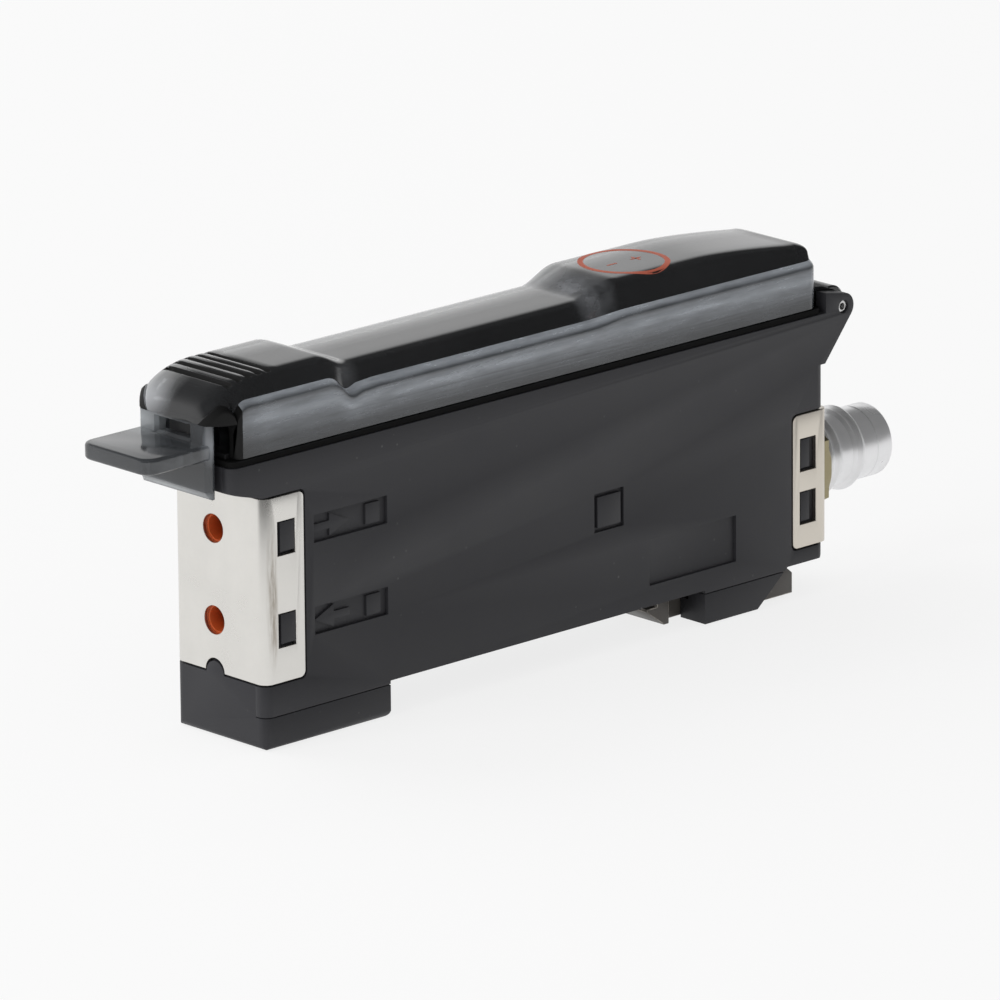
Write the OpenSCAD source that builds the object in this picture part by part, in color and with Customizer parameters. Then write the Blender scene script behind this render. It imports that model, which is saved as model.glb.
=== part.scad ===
// Fibre optic sensor amplifier for a 35 mm rail: a slim moulded case with a
// removable side plate, a steel plate at each end, an M8 plug, a sprung rail
// latch and a smoked cover that swings up over the setting controls.
// Case axes: x runs from the fibre plate to the plug, z rises from the rail seat.

/* [Case] */
// Width over both side walls
case_w = 12; // [11:0.1:14]
// Length from the fibre plate's face to the rear face
case_len = 70.1; // [68:0.1:76]
// Height from the rail seat to the top seam
case_h = 23.4; // [22.6:0.1:26]
// Thickness of the far wall
wall_t = 1.2; // [0.9:0.1:1.5]
// Thickness of the floor
floor_t = 1.2; // [0.8:0.1:1.8]
// Thickness of the rear end wall
rear_wall_t = 1.5; // [1.2:0.1:2]
// Thickness of the front end wall behind the fibre plate
front_wall_t = 3.2; // [3:0.1:3.8]
// Thickness of the side plate that closes the near side
side_plate_t = 1.3; // [1.1:0.05:1.5]
// Radius of the case's upright edges
case_corner_r = 1; // [0.6:0.1:1.2]
// Reach of the nose over the fibre plate
nose_len = 3.6; // [2.5:0.1:3.8]
// Depth of the nose at its tip
nose_tip_h = 2.3; // [1.8:0.1:3]

/* [Rail seat] */
// Width of the mounting rail
rail_w = 35; // [34:0.1:35.4]
// Thickness of the rail's lip
rail_lip_t = 1; // [0.8:0.1:1.3]
// Length of the front foot
foot_len = 15.1; // [13:0.1:16]
// Height of the feet below the rail seat
foot_h = 3.4; // [3.2:0.1:4.5]
// Radius of the front foot's lower edges
foot_edge_r = 0.7; // [0.4:0.1:1]
// Reach of the fixed hook under the rail
hook_reach = 1.2; // [0.8:0.1:1.6]
// Width of the fixed hook
hook_w = 6; // [4:0.1:8]
// Length of the rear ribs at their lower edge
rib_len = 6.8; // [6:0.1:7.4]
// Length of the slope behind the rear ribs
rib_slope = 3.9; // [3:0.1:5]
// Reach of the latch nose under the rail
latch_reach = 0.9; // [0.6:0.1:1.2]
// Width of the latch nose
latch_nose_w = 7.6; // [6.6:0.1:8.4]
// Width of the latch body between the rear ribs
latch_w = 5.2; // [4.8:0.1:5.6]
// Travel of the latch when it is pulled
latch_travel = 2.2; // [1.6:0.1:2.4]
// Length of the pull end behind the ribs
pull_len = 1.8; // [1.7:0.1:3]
// Width of the pull end
pull_w = 9.6; // [6:0.1:10]
// Wire diameter of the latch spring
spring_wire_d = 0.3; // [0.2:0.05:0.4]
// Mean diameter of the latch spring
spring_d = 1.6; // [1.3:0.1:1.7]
// Length of the latch spring's pocket
spring_len = 5.4; // [5:0.1:5.8]

/* [Fibre end] */
// Distance between the two fibre axes
fibre_pitch = 8.5; // [8:0.1:9]
// Height of the lower fibre axis
fibre_low_z = 7.5; // [7:0.1:8]
// Diameter of the fibre bores
fibre_bore_d = 2.3; // [2.1:0.05:2.4]
// Diameter of the holes in the fibre plate
plate_hole_d = 2.65; // [2.65:0.05:3]
// Diameter of the silicone seals
seal_d = 4.8; // [4.4:0.1:5.2]
// Thickness of the silicone seals
seal_t = 2.4; // [2:0.1:2.6]
// Length of the fibre holder
holder_len = 9.3; // [8:0.1:10]
// Diameter of the light eyes' lenses
lens_d = 3; // [2.6:0.1:3.2]
// Width and height of a light eye's body
eye_w = 4; // [3.6:0.1:4.4]
// Length of a light eye's body
eye_len = 5; // [4:0.1:5.5]

/* [Steel plates] */
// Sheet thickness
plate_t = 0.5; // [0.4:0.05:0.6]
// Outer radius of the folds
fold_r = 1; // [0.7:0.05:1.2]
// Corner radius of the side flanges
flange_corner_r = 0.6; // [0.4:0.05:0.8]
// Bottom edge of the fibre plate
fibre_plate_z = 2.7; // [2.4:0.1:3]
// Height of the fibre plate
fibre_plate_h = 17.2; // [16.8:0.1:17.6]
// Length of the fibre plate's side flanges
fibre_flange_len = 4.85; // [4.6:0.05:5.2]
// Diameter of the half-round notch in the fibre plate's lower edge
notch_d = 2.5; // [2:0.1:3]
// Bottom edge of the plug plate
plug_plate_z = 1.5; // [1.2:0.1:1.8]
// Height of the plug plate
plug_plate_h = 12.8; // [12.4:0.1:13.2]
// Length of the plug plate's side flanges
plug_flange_len = 4.7; // [4.5:0.05:5]
// Length of the snap windows in the flanges
window_len = 2.1; // [1.8:0.05:2.4]
// Height of the snap windows
window_tall = 3.15; // [2.8:0.05:3.4]
// Distance from a plate's face to its windows
window_inset = 1.7; // [1.4:0.05:2]
// Gap under the snap tabs in their windows
tab_foot_gap = 0.35; // [0.2:0.05:0.5]
// Gap between the fibre plate's snap tabs and the fold side of their windows
fibre_tab_gap = 0.3; // [0.1:0.05:0.6]
// Gap between the plug plate's snap tabs and the fold side of their windows
plug_tab_gap = 0.9; // [0.1:0.05:1.1]
// Distance between the windows of the plug plate
plug_window_pitch = 5.1; // [4.6:0.1:5.6]

/* [Side marks] */
// Depth of the sunk marks
mark_depth = 0.4; // [0.25:0.05:0.5]
// Length of an arrow panel
arrow_panel_len = 8.85; // [8:0.05:9.5]
// Height of an arrow panel
arrow_panel_h = 2.6; // [2.2:0.1:3]
// Length of an arrow
arrow_len = 4.2; // [3.6:0.1:5]
// Side of the outlined square
square_w = 3.7; // [3:0.1:4.4]
// Width of the square's line
square_line = 0.4; // [0.3:0.05:0.6]
// Length of the bare sunk panel
bare_len = 11.1; // [9:0.1:12]
// Height of the bare sunk panel
bare_h = 4.45; // [3.5:0.05:5]

/* [Plug] */
// Height of the plug's axis
plug_z = 7.85; // [7.4:0.05:8.2]
// Outer diameter of the thread
thread_d = 8; // [7.6:0.1:8.4]
// Diameter of the plain sleeve at the tip
sleeve_d = 6.95; // [6.7:0.05:7.4]
// Bore of the sleeve
sleeve_bore_d = 5.8; // [5.5:0.1:6.1]
// Reach of the plug behind the rear face
plug_len = 11.6; // [10.5:0.1:13]
// Length of the plain sleeve
sleeve_len = 3.8; // [3.4:0.1:5]
// Length of the run-out groove in the thread
groove_len = 1.5; // [0.8:0.1:1.8]
// Length of thread between the groove and the sleeve
last_thread = 1.4; // [0.8:0.1:1.6]
// Hexagon of the plug across its flats
hex_af = 9.6; // [9.4:0.1:10]
// Thickness of the hexagon
hex_t = 1.6; // [1.2:0.1:2]
// Section of the o-ring under the hexagon
o_ring_t = 0.4; // [0.3:0.05:0.45]
// Outer diameter of the o-ring
o_ring_d = 8.2; // [8:0.1:8.4]
// Diameter of the ring nut inside the case
ring_nut_d = 9.2; // [8.8:0.1:9.4]
// Thickness of the ring nut
ring_nut_t = 1.4; // [1:0.1:1.8]
// Diameter of the contact pins
contact_d = 1; // [0.8:0.05:1.1]
// Distance of the contact pins from the plug's axis
contact_ring_r = 1.6; // [1.5:0.05:1.7]
// Distance from the sleeve's end to the contact pins' tips
contact_inset = 1.2; // [0.8:0.1:1.6]
// Length of the solder tails behind the plug
tail_len = 3; // [2:0.1:3.5]

/* [Cover] */
// Wall thickness of the cover
cover_wall = 1.1; // [0.9:0.05:1.2]
// Width over the cover's side bands
cover_w = 11.6; // [11.4:0.1:11.8]
// Reach of the cover's front wall past the fibre plate
cover_reach = 5.2; // [5.1:0.1:5.8]
// Height of the front dome above the cover's lower edge
front_dome_h = 7; // [6.8:0.05:7.8]
// End of the front dome's top behind the fibre plate's face
front_dome_x = 8.4; // [8:0.1:9]
// Height of the display window above the lower edge
display_top_h = 5.8; // [5.2:0.05:6.2]
// Height of the rear dome above the lower edge
rear_dome_h = 7.1; // [6.9:0.05:7.8]
// Reach of the rear dome's top in front of the adjuster
rear_dome_reach = 4.4; // [3.8:0.1:5]
// Height of the side bands beside the display window
band_h = 3.6; // [3.2:0.05:3.8]
// Width of the latch tongue at the front
tongue_w = 9.1; // [8.4:0.1:9.4]
// Depth of the apron below the cover's lower edge
apron_h = 3.5; // [3:0.1:3.8]
// Width of the latch window in the tongue
latch_window_w = 4.2; // [3.9:0.1:4.6]
// Length of the lift tab
tab_len = 7; // [5:0.1:8]
// Thickness of the lift tab
tab_t = 1.5; // [1.1:0.05:1.8]
// Number of grip grooves on the front dome
grip_count = 5; // [3:1:6]
// Distance between the grip grooves
grip_pitch = 1.15; // [0.9:0.05:1.2]
// Depth of the grip grooves
grip_depth = 0.35; // [0.2:0.05:0.45]
// Thickness of the gasket under the cover
gasket_t = 0.6; // [0.5:0.05:0.8]

/* [Cover hinge] */
// Diameter of the hinge pin
pin_d = 1.2; // [1:0.05:1.4]
// Hollow of the hinge pin
pin_hollow_d = 0.6; // [0.4:0.05:0.7]
// Distance of the hinge axis behind the rear face
pin_back = 2.4; // [2.3:0.05:2.8]
// Height of the hinge axis above the top seam
pin_rise = 0.2; // [0:0.05:0.4]
// Diameter of the hinge lugs
lug_d = 2.6; // [2.4:0.05:2.8]
// Diameter of the cover's knuckle
knuckle_d = 3.4; // [3:0.05:3.5]

/* [Controls] */
// Diameter of the fibre lock knob
lock_d = 6; // [5:0.1:6.4]
// Height of the fibre lock knob above the panel
lock_h = 4; // [3.4:0.1:4.4]
// Diameter of the fibre lock's shaft
lock_shaft_d = 3; // [2.6:0.1:3.2]
// Diameter of the sensitivity adjuster
adjuster_d = 4.2; // [3.6:0.1:4.4]
// Height of the sensitivity adjuster above the panel
adjuster_h = 2.4; // [1.8:0.1:2.6]
// Width of the adjuster's indicator ring
indicator_w = 0.9; // [0.7:0.05:1]
// Side of the trimmer under the adjuster
trimmer_w = 5.6; // [5:0.1:6]
// Diameter of the operation lamp
lamp_d = 2; // [1.6:0.1:2.4]
// Distance from the rear face to the middle of the switches
switch_inset = 9.8; // [9.4:0.1:10.6]
// Distance from the switches to the adjuster
adjuster_pitch = 10.5; // [9.8:0.1:11.2]
// Distance from the adjuster to the operation lamp
lamp_pitch = 7.4; // [6.4:0.1:8]
// Distance from the lamp to the display window
display_pitch = 4.9; // [3:0.1:6]
// Distance between the two switches
switch_pitch = 3.8; // [3.6:0.1:4]
// Travel of the slide switches
switch_travel = 2; // [1.5:0.1:2.2]
// Length of a switch knob
switch_len = 2.2; // [1.8:0.1:2.4]
// Width of a switch knob
switch_w = 1.6; // [1.2:0.1:1.8]
// Height of a switch knob above the panel
switch_h = 1.8; // [1.2:0.1:2]
// Length of the display window
display_len = 22; // [18:0.5:23]
// Width of the display window
display_w = 5.6; // [5:0.1:6]

/* [Clearances] */
// Gap round the steel plates in the case
plate_gap = 0.18; // [0.1:0.01:0.22]
// Gap between pieces that are seated in each other
seat_gap = 0.1; // [0.05:0.01:0.12]
// Radial gap of a turning fit
run_gap = 0.05; // [0.03:0.01:0.08]
// Gap beside a sliding piece
slide_gap = 0.15; // [0.1:0.01:0.2]
// Gap between the cover and what it closes on
cover_gap = 0.1; // [0.06:0.01:0.15]
// Gap around boards and other loose inner pieces
inner_gap = 0.3; // [0.2:0.05:0.35]

/* [Hidden] */

$fn = 64;
overcut = 0.2;

// Colours
case_grey = [0.2, 0.2, 0.215];
panel_black = [0.1, 0.1, 0.11];
smoke = [0.34, 0.36, 0.38, 0.75];
steel = [0.88, 0.87, 0.85];
chrome = [0.8, 0.8, 0.82];
seal_orange = [0.72, 0.27, 0.1];
rubber_black = [0.06, 0.06, 0.06];
board_green = [0.1, 0.35, 0.2];
contact_gold = [0.85, 0.68, 0.3];
lamp_orange = [0.95, 0.45, 0.1];
knob_grey = [0.55, 0.56, 0.58];

// Helpers

function step(t) = let (c = max(0, min(1, t))) c * c * (3 - 2 * c);
function mix(a, b, t) = a + (b - a) * t;
function about(middle, width) = [middle - width / 2, middle + width / 2];
function grown(range, by) = [range[0] - by, range[1] + by];
function middle(range) = (range[0] + range[1]) / 2;

module block(x, y, z) {
    translate([x[0], y[0], z[0]]) cube([x[1] - x[0], y[1] - y[0], z[1] - z[0]]);
}

// Extrudes an outline drawn in x and z from y[0] to y[1]
module across(y) {
    translate([0, y[1], 0]) rotate([90, 0, 0]) linear_extrude(height = y[1] - y[0]) children();
}

// Extrudes an outline drawn in y and z from x[0] to x[1]
module along(x) {
    translate([x[0], 0, 0]) rotate([90, 0, 90]) linear_extrude(height = x[1] - x[0]) children();
}

module rod_x(x, y, z, d) {
    translate([x[0], y, z]) rotate([0, 90, 0]) cylinder(h = x[1] - x[0], d = d);
}

module rod_z(x, y, z, d) {
    translate([x, y, z[0]]) cylinder(h = z[1] - z[0], d = d);
}

module round_rect(x, y, r) {
    translate([x[0] + r, y[0]]) square([x[1] - x[0] - 2 * r, y[1] - y[0]]);
    translate([x[0], y[0] + r]) square([x[1] - x[0], y[1] - y[0] - 2 * r]);
    for (cx = [x[0] + r, x[1] - r], cy = [y[0] + r, y[1] - r]) translate([cx, cy]) circle(r = r);
}

// Widths across the case
half_w = case_w / 2;
near_y = -half_w + side_plate_t;
far_in_y = half_w - wall_t;
axis_y = side_plate_t / 2;
panel_half_w = half_w - side_plate_t - inner_gap;
past_sides = [-half_w - overcut, half_w + overcut];

// Heights
deck_rise = 1;
panel_drop = 1;
board_t = 1;
board_drop = 0.8;
fibre_axes = [fibre_low_z, fibre_low_z + fibre_pitch];
fibre_plate_zs = [fibre_plate_z, fibre_plate_z + fibre_plate_h];
plug_plate_zs = [plug_plate_z, plug_plate_z + plug_plate_h];
plug_windows = about(plug_z, plug_window_pitch);
nose_root_z = fibre_plate_zs[1] + plate_gap;
gasket_top = case_h + gasket_t;
cover_z = gasket_top + cover_gap;
panel_seat_z = case_h - panel_drop;
deck_z = case_h + deck_rise;
board_top_z = panel_seat_z - board_drop;
board_foot_z = board_top_z - board_t;
through_panel = [panel_seat_z - overcut, deck_z + overcut];

// Places along the case
nose_lip = 0.7;
board_lead = 3;
board_tail = 4;
inner_x0 = plate_t + front_wall_t;
inner_x1 = case_len - rear_wall_t;
panel_x = [-nose_len + nose_lip, inner_x1 - seat_gap];
rail_x1 = foot_len + rail_w;
tip_x = case_len + plug_len;
tab_x = -cover_reach - tab_len;
holder_x = [inner_x0, inner_x0 + holder_len];
lock_x = inner_x0 + lock_shaft_d / 2 + inner_gap + seat_gap;
switch_x = case_len - switch_inset;
adjuster_x = switch_x - adjuster_pitch;
lamp_x = adjuster_x - lamp_pitch;
display_x = [lamp_x - display_pitch - display_len, lamp_x - display_pitch];
main_board_x = [holder_x[1] + board_lead, inner_x1 - board_tail];

// The part stands on its feet, with the origin under the middle of its box
module in_frame() {
    translate([-(tip_x + tab_x) / 2, 0, foot_h]) children();
}

// Case outline

rear_corner = 0.6;

module case_side() {
    polygon([
        [0, 0], [case_len - rear_corner, 0], [case_len, rear_corner], [case_len, case_h],
        [-nose_len, case_h], [-nose_len, case_h - nose_tip_h], [0, nose_root_z]
    ]);
}

// What the rounded upright edges take off: below the nose, at its tip and below the lugs
module corner_cut(x, back, z) {
    for (side = [-1, 1])
        translate([x, side * half_w, z[0]]) mirror([back, 0, 0]) mirror([0, side > 0 ? 1 : 0, 0])
        linear_extrude(height = z[1] - z[0]) difference() {
            translate([-overcut, -overcut]) square(case_corner_r + overcut);
            translate([case_corner_r, case_corner_r]) circle(r = case_corner_r);
        }
}

module corner_cuts() {
    corner_cut(0, 0, [-foot_h - overcut, fibre_plate_zs[1]]);
    corner_cut(-nose_len, 0, [nose_root_z, case_h + overcut]);
    corner_cut(case_len, 1, [-foot_h - overcut, case_h - lug_drop]);
}

// Hinge lugs

pin_x = case_len + pin_back;
pin_z = case_h + pin_rise;
lug_r = lug_d / 2;
lug_root = 1;
lug_drop = 4.8;
lug_tangent = -38;
lug_arm_rise = 0.4;
pin_hole_d = pin_d + run_gap;

module rod_y(y, d) {
    translate([pin_x, y[1], pin_z]) rotate([90, 0, 0]) cylinder(h = y[1] - y[0], d = d);
}

// A round eye on an arm that rises from the rear face
module lug_side() {
    translate([pin_x, pin_z]) circle(d = lug_d);
    polygon([
        [case_len - lug_root, case_h - lug_drop], [case_len, case_h - lug_drop],
        [pin_x + lug_r * cos(lug_tangent), pin_z + lug_r * sin(lug_tangent)],
        [pin_x, pin_z], [pin_x, pin_z + lug_r],
        [case_len + seat_gap, pin_z + lug_r + lug_arm_rise],
        [case_len + seat_gap, case_h], [case_len - lug_root, case_h]
    ]);
}

// Steel plates: a folded U seen from above, with snap windows in its flanges

module folded_u(len) {
    difference() {
        round_rect([0, 2 * len], [-half_w, half_w], fold_r);
        round_rect([plate_t, 2 * len], [-half_w + plate_t, half_w - plate_t], fold_r - plate_t);
        translate([len, -half_w - overcut]) square([len + overcut, case_w + 2 * overcut]);
    }
}

// Flange seen from the side, with its free corners rounded
module flange_side(len, z, gap) {
    across(past_sides) round_rect([-len, len + gap], grown(z, gap), flange_corner_r);
}

module plate_body(len, z) {
    intersection() {
        translate([0, 0, z[0]]) linear_extrude(height = z[1] - z[0]) folded_u(len);
        flange_side(len, z, 0);
    }
}

module plate_pocket(len, z) {
    inside = [-half_w + plate_t, half_w - plate_t];
    intersection() {
        translate([0, 0, z[0] - plate_gap]) linear_extrude(height = z[1] - z[0] + 2 * plate_gap)
        difference() {
            translate([-overcut, -half_w - overcut])
                square([len + plate_gap + overcut, case_w + 2 * overcut]);
            round_rect([plate_t, 3 * len], inside, fold_r - plate_t + seat_gap);
        }
        flange_side(len, z, plate_gap);
    }
}

module snap_windows(zs, gap, fold_gap, foot_gap, y) {
    for (z = zs)
        block([window_inset + fold_gap, window_inset + window_len - gap], y,
            [z - window_tall / 2 + foot_gap, z + window_tall / 2 - gap]);
}

module at_plug_end() {
    translate([case_len + plate_t, 0, 0]) mirror([1, 0, 0]) children();
}

module end_pockets() {
    plate_pocket(fibre_flange_len, fibre_plate_zs);
    at_plug_end() plate_pocket(plug_flange_len, plug_plate_zs);
}

// Tabs on the case that fill the snap windows
module end_tabs(y) {
    snap_windows(fibre_axes, seat_gap, fibre_tab_gap, tab_foot_gap, y);
    at_plug_end() snap_windows(plug_windows, seat_gap, plug_tab_gap, tab_foot_gap, y);
}

// Feet, ribs and the hook that reaches under the rail's lip

seam_drop = 0.4;
lip_play = 0.2;
hook_lift = 0.5;
hook_slope = 0.6;
rib_gap = 4.4;
rib_lift = 0.15;
groove_depth = 1;
groove_h = 1.3;
rib_x0 = rail_x1 + rib_gap;
rib_h = foot_h - rib_lift;
lip_z = -rail_lip_t - lip_play;
latch_half_w = latch_w / 2;

module foot_side(top) {
    intersection() {
        round_rect([0, foot_len], [-foot_h, foot_h], foot_edge_r);
        translate([0, -foot_h]) square([foot_len, foot_h + top]);
    }
}

module hook_side() {
    root_x = foot_len - overcut;
    tip = foot_len + hook_reach;
    polygon([
        [root_x, hook_lift - foot_h], [tip - hook_slope, hook_lift - foot_h],
        [tip, hook_lift + hook_slope - foot_h], [tip, lip_z], [root_x, lip_z]
    ]);
}

// End of the ribs at a height z on their slope
function rib_end(z) = rib_x0 + rib_len + rib_slope * (1 + z / rib_h);

module rib_side(top) {
    polygon([[rib_x0, top], [rib_x0, -rib_h], [rib_end(-rib_h), -rib_h], [rib_end(top), top]]);
}

// Channel between the rear ribs, with a groove on each side for the latch's flanges
module latch_channel() {
    x = [rib_x0 - overcut, rib_end(0) + overcut];
    w = latch_w + 2 * slide_gap;
    block(x, about(0, w), [-foot_h - overcut, 0]);
    block(x, about(0, w + 2 * groove_depth), [-groove_h, 0]);
}

module case_feet() {
    intersection() {
        union() {
            across([-half_w, half_w]) foot_side(-seam_drop);
            across([near_y, half_w]) foot_side(overcut);
        }
        along([-overcut, foot_len + overcut])
            round_rect([-half_w, half_w], [-foot_h, foot_h], foot_edge_r);
    }
    across(about(0, hook_w)) hook_side();
    difference() {
        union() {
            across([-half_w, half_w]) rib_side(-seam_drop);
            across([near_y, half_w]) rib_side(overcut);
        }
        latch_channel();
    }
    block([spring_seat_x, spring_seat_x + spring_seat_t], about(0, spring_post_w),
        [latch_bottom + pocket_floor + slide_gap, overcut]);
}

// Main case

ledge_t = 1;
rest_t = 0.5;
ledge_grip = 0.4;
main_board_y = 2.2;
post_inset = 4;
post_len = 2;
post_z = 12;
board_half_w = panel_half_w - ledge_grip;

module case_shell() {
    difference() {
        union() {
            across([near_y, half_w]) case_side();
            across([half_w - side_plate_t, half_w]) lug_side();
        }
        block([inner_x0, inner_x1], [near_y - overcut, far_in_y], [floor_t, case_h + overcut]);
        block([panel_x[0] - seat_gap, inner_x1 + overcut], [near_y - overcut, panel_half_w + seat_gap],
            [panel_seat_z, case_h + overcut]);
    }
    case_ledges();
}

// Ledges on the far wall carry the panel and the control board, and posts the main board
module case_ledges() {
    root_y = far_in_y + overcut;
    block([inner_x0, inner_x1], [panel_half_w - ledge_grip, root_y], [panel_seat_z - rest_t, panel_seat_z]);
    block([main_board_x[0], inner_x1], [board_half_w - ledge_grip, root_y],
        [board_foot_z - ledge_t, board_foot_z]);
    for (x = [main_board_x[0] + post_inset, main_board_x[1] - post_inset - post_len])
        block([x, x + post_len], [main_board_y + board_t, root_y], [floor_t - overcut, post_z]);
}

module case_bores() {
    for (z = fibre_axes) {
        rod_x([plate_t - overcut, plate_t + seal_t + seat_gap], axis_y, z, seal_d + 2 * seat_gap);
        rod_x([0, inner_x0 + overcut], axis_y, z, fibre_bore_d);
    }
    plug_rod([inner_x1 - overcut, case_len + overcut], shank_d + 2 * seat_gap);
    rod_y([0, half_w + overcut], pin_hole_d);
}

// Half-round boss that shows in the fibre plate's notch
module notch_boss() {
    foot_z = fibre_plate_z - plate_gap;
    intersection() {
        rod_x([0, plate_t + overcut], axis_y, foot_z, notch_d - 2 * seat_gap);
        block([0, front_wall_t], past_sides, [foot_z - overcut, fibre_plate_zs[1]]);
    }
}

module main_case() {
    color(case_grey) in_frame() {
        difference() {
            union() {
                case_shell();
                case_feet();
            }
            end_pockets();
            corner_cuts();
            case_bores();
        }
        end_tabs([half_w - plate_t - overcut, half_w]);
        notch_boss();
    }
}

// Side plate with its sunk marks

arrow_panel_gap = 1.2;
arrow_panel_x = fibre_flange_len + arrow_panel_gap;
arrow_panel_rise = 0.05;
arrow_margin = 0.1;
arrow_head_len = 2.3;
arrow_head_h = 2.1;
arrow_shaft_h = 0.7;
arrow_sink = 0.15;
end_box_x = 6.35;
end_box_len = 1.7;
end_box_h = 1.9;
square_x = 42.3;
square_z = 10.28;
bare_x = 52.95;
bare_z = 4.18;

module recess(x, z, depth) {
    block(x, [-half_w - overcut, -half_w + depth], z);
}

// Block arrow drawn from its tail at x = 0
module arrow() {
    head_x = arrow_len - arrow_head_len;
    translate([0, -arrow_shaft_h / 2]) square([head_x, arrow_shaft_h]);
    polygon([[head_x, -arrow_head_h / 2], [arrow_len, 0], [head_x, arrow_head_h / 2]]);
}

// Raised in its panel: the way of the light and an end box
module arrow_relief(z, outward) {
    translate([arrow_panel_x + arrow_margin, z]) {
        if (outward) translate([arrow_len, 0]) mirror([1, 0]) arrow();
        else arrow();
    }
    translate([arrow_panel_x + end_box_x, z - end_box_h / 2]) square([end_box_len, end_box_h]);
}

module side_marks() {
    for (z = fibre_axes)
        recess([arrow_panel_x, arrow_panel_x + arrow_panel_len],
            about(z + arrow_panel_rise, arrow_panel_h), mark_depth);
    inner_w = square_w - 2 * square_line;
    difference() {
        recess(about(square_x, square_w), about(square_z, square_w), mark_depth);
        recess(about(square_x, inner_w), about(square_z, inner_w), side_plate_t);
    }
    recess(about(bare_x, bare_len), about(bare_z, bare_h), mark_depth);
}

module side_plate_outline() {
    skirt_z = -seam_drop + seat_gap;
    case_side();
    lug_side();
    translate([0, skirt_z]) square([foot_len, -skirt_z]);
    intersection() {
        rib_side(overcut);
        translate([rib_x0, skirt_z]) square([rib_len + rib_slope, overcut - skirt_z]);
    }
}

// Ribs on the inside carry the near edges of the panel and the control board
module side_ledges() {
    root_y = near_y - overcut;
    block([inner_x0 + inner_gap, inner_x1 - inner_gap], [root_y, -panel_half_w + ledge_grip],
        [panel_seat_z - rest_t, panel_seat_z]);
    block([main_board_x[0], inner_x1 - inner_gap], [root_y, -board_half_w + ledge_grip],
        [board_foot_z - ledge_t, board_foot_z]);
}

module side_cover() {
    color(case_grey) in_frame() {
        difference() {
            across([-half_w, near_y]) side_plate_outline();
            end_pockets();
            corner_cuts();
            side_marks();
            rod_y([-half_w - overcut, 0], pin_hole_d);
        }
        end_tabs([-half_w, -half_w + plate_t + overcut]);
        across([-half_w + arrow_sink, -half_w + mark_depth + overcut])
            for (i = [0, 1]) arrow_relief(fibre_axes[i] + arrow_panel_rise, i == 0);
        side_ledges();
    }
}

// Steel plates and seals

module fibre_plate() {
    face = [-overcut, plate_t + overcut];
    color(steel) in_frame() difference() {
        plate_body(fibre_flange_len, fibre_plate_zs);
        snap_windows(fibre_axes, 0, 0, 0, past_sides);
        for (z = fibre_axes) rod_x(face, axis_y, z, plate_hole_d);
        rod_x(face, axis_y, fibre_plate_z, notch_d);
    }
}

module fibre_seal(z) {
    color(seal_orange) in_frame() difference() {
        rod_x([plate_t, plate_t + seal_t], axis_y, z, seal_d);
        rod_x([0, plate_t + seal_t + overcut], axis_y, z, fibre_bore_d);
    }
}

module upper_fibre_seal() {
    fibre_seal(fibre_axes[1]);
}

module lower_fibre_seal() {
    fibre_seal(fibre_axes[0]);
}

module plug_plate() {
    color(steel) in_frame() at_plug_end() difference() {
        plate_body(plug_flange_len, plug_plate_zs);
        snap_windows(plug_windows, 0, 0, 0, past_sides);
        rod_x([-overcut, plate_t + overcut], plug_y, plug_z, shank_d + 2 * seat_gap);
    }
}

// Plug

thread_depth = 0.2;
nut_reach = 0.6;
insert_sink = 0.6;
plug_y = (near_y + far_in_y) / 2;
plug_face_x = case_len + plate_t;
hex_x1 = plug_face_x + hex_t;
plug_x0 = inner_x1 - ring_nut_t - nut_reach;
shank_d = thread_d - 2 * thread_depth;
thread_x1 = tip_x - sleeve_len;
insert_x = [plug_x0, thread_x1 - insert_sink];
groove_x = [thread_x1 - last_thread - groove_len, thread_x1 - last_thread];

module plug_rod(x, d) {
    rod_x(x, plug_y, plug_z, d);
}

module plug_tube(x, outer_d, inner_d) {
    difference() {
        plug_rod(x, outer_d);
        plug_rod(grown(x, overcut), inner_d);
    }
}

module plug_shell() {
    color(chrome) in_frame() difference() {
        union() {
            plug_rod([plug_x0, hex_x1], shank_d);
            translate([plug_face_x, plug_y, plug_z]) rotate([0, 90, 0])
                cylinder(h = hex_t, d = hex_af / cos(30), $fn = 6);
            plug_rod([hex_x1, thread_x1], thread_d);
            plug_rod([hex_x1, tip_x], sleeve_d);
        }
        plug_rod([plug_x0 - overcut, tip_x + overcut], sleeve_bore_d);
        plug_tube(groove_x, thread_d + overcut, sleeve_d);
        // seat of the o-ring under the hexagon
        plug_tube([plug_face_x - overcut, plug_face_x + o_ring_t], o_ring_d + 2 * run_gap,
            o_ring_d - 2 * o_ring_t - 2 * run_gap);
    }
}

module contact_rods(x, d) {
    for (a = [45:90:315])
        rod_x(x, plug_y + contact_ring_r * cos(a), plug_z + contact_ring_r * sin(a), d);
}

module plug_insert() {
    color(panel_black) in_frame() difference() {
        plug_rod(insert_x, sleeve_bore_d - 2 * run_gap);
        contact_rods(grown(insert_x, overcut), contact_d + 2 * run_gap);
    }
}

module contact_pins() {
    color(contact_gold) in_frame() contact_rods([plug_x0 - tail_len, tip_x - contact_inset], contact_d);
}

module plug_ring_nut() {
    color(contact_gold) in_frame()
        plug_tube([inner_x1 - ring_nut_t, inner_x1], ring_nut_d, shank_d + 2 * run_gap);
}

module plug_o_ring() {
    color(rubber_black) in_frame()
    translate([plug_face_x + o_ring_t / 2, plug_y, plug_z]) rotate([0, 90, 0])
        rotate_extrude() translate([(o_ring_d - o_ring_t) / 2, 0]) circle(d = o_ring_t, $fn = 32);
}

// Rail latch, sprung towards the fibre end

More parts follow.
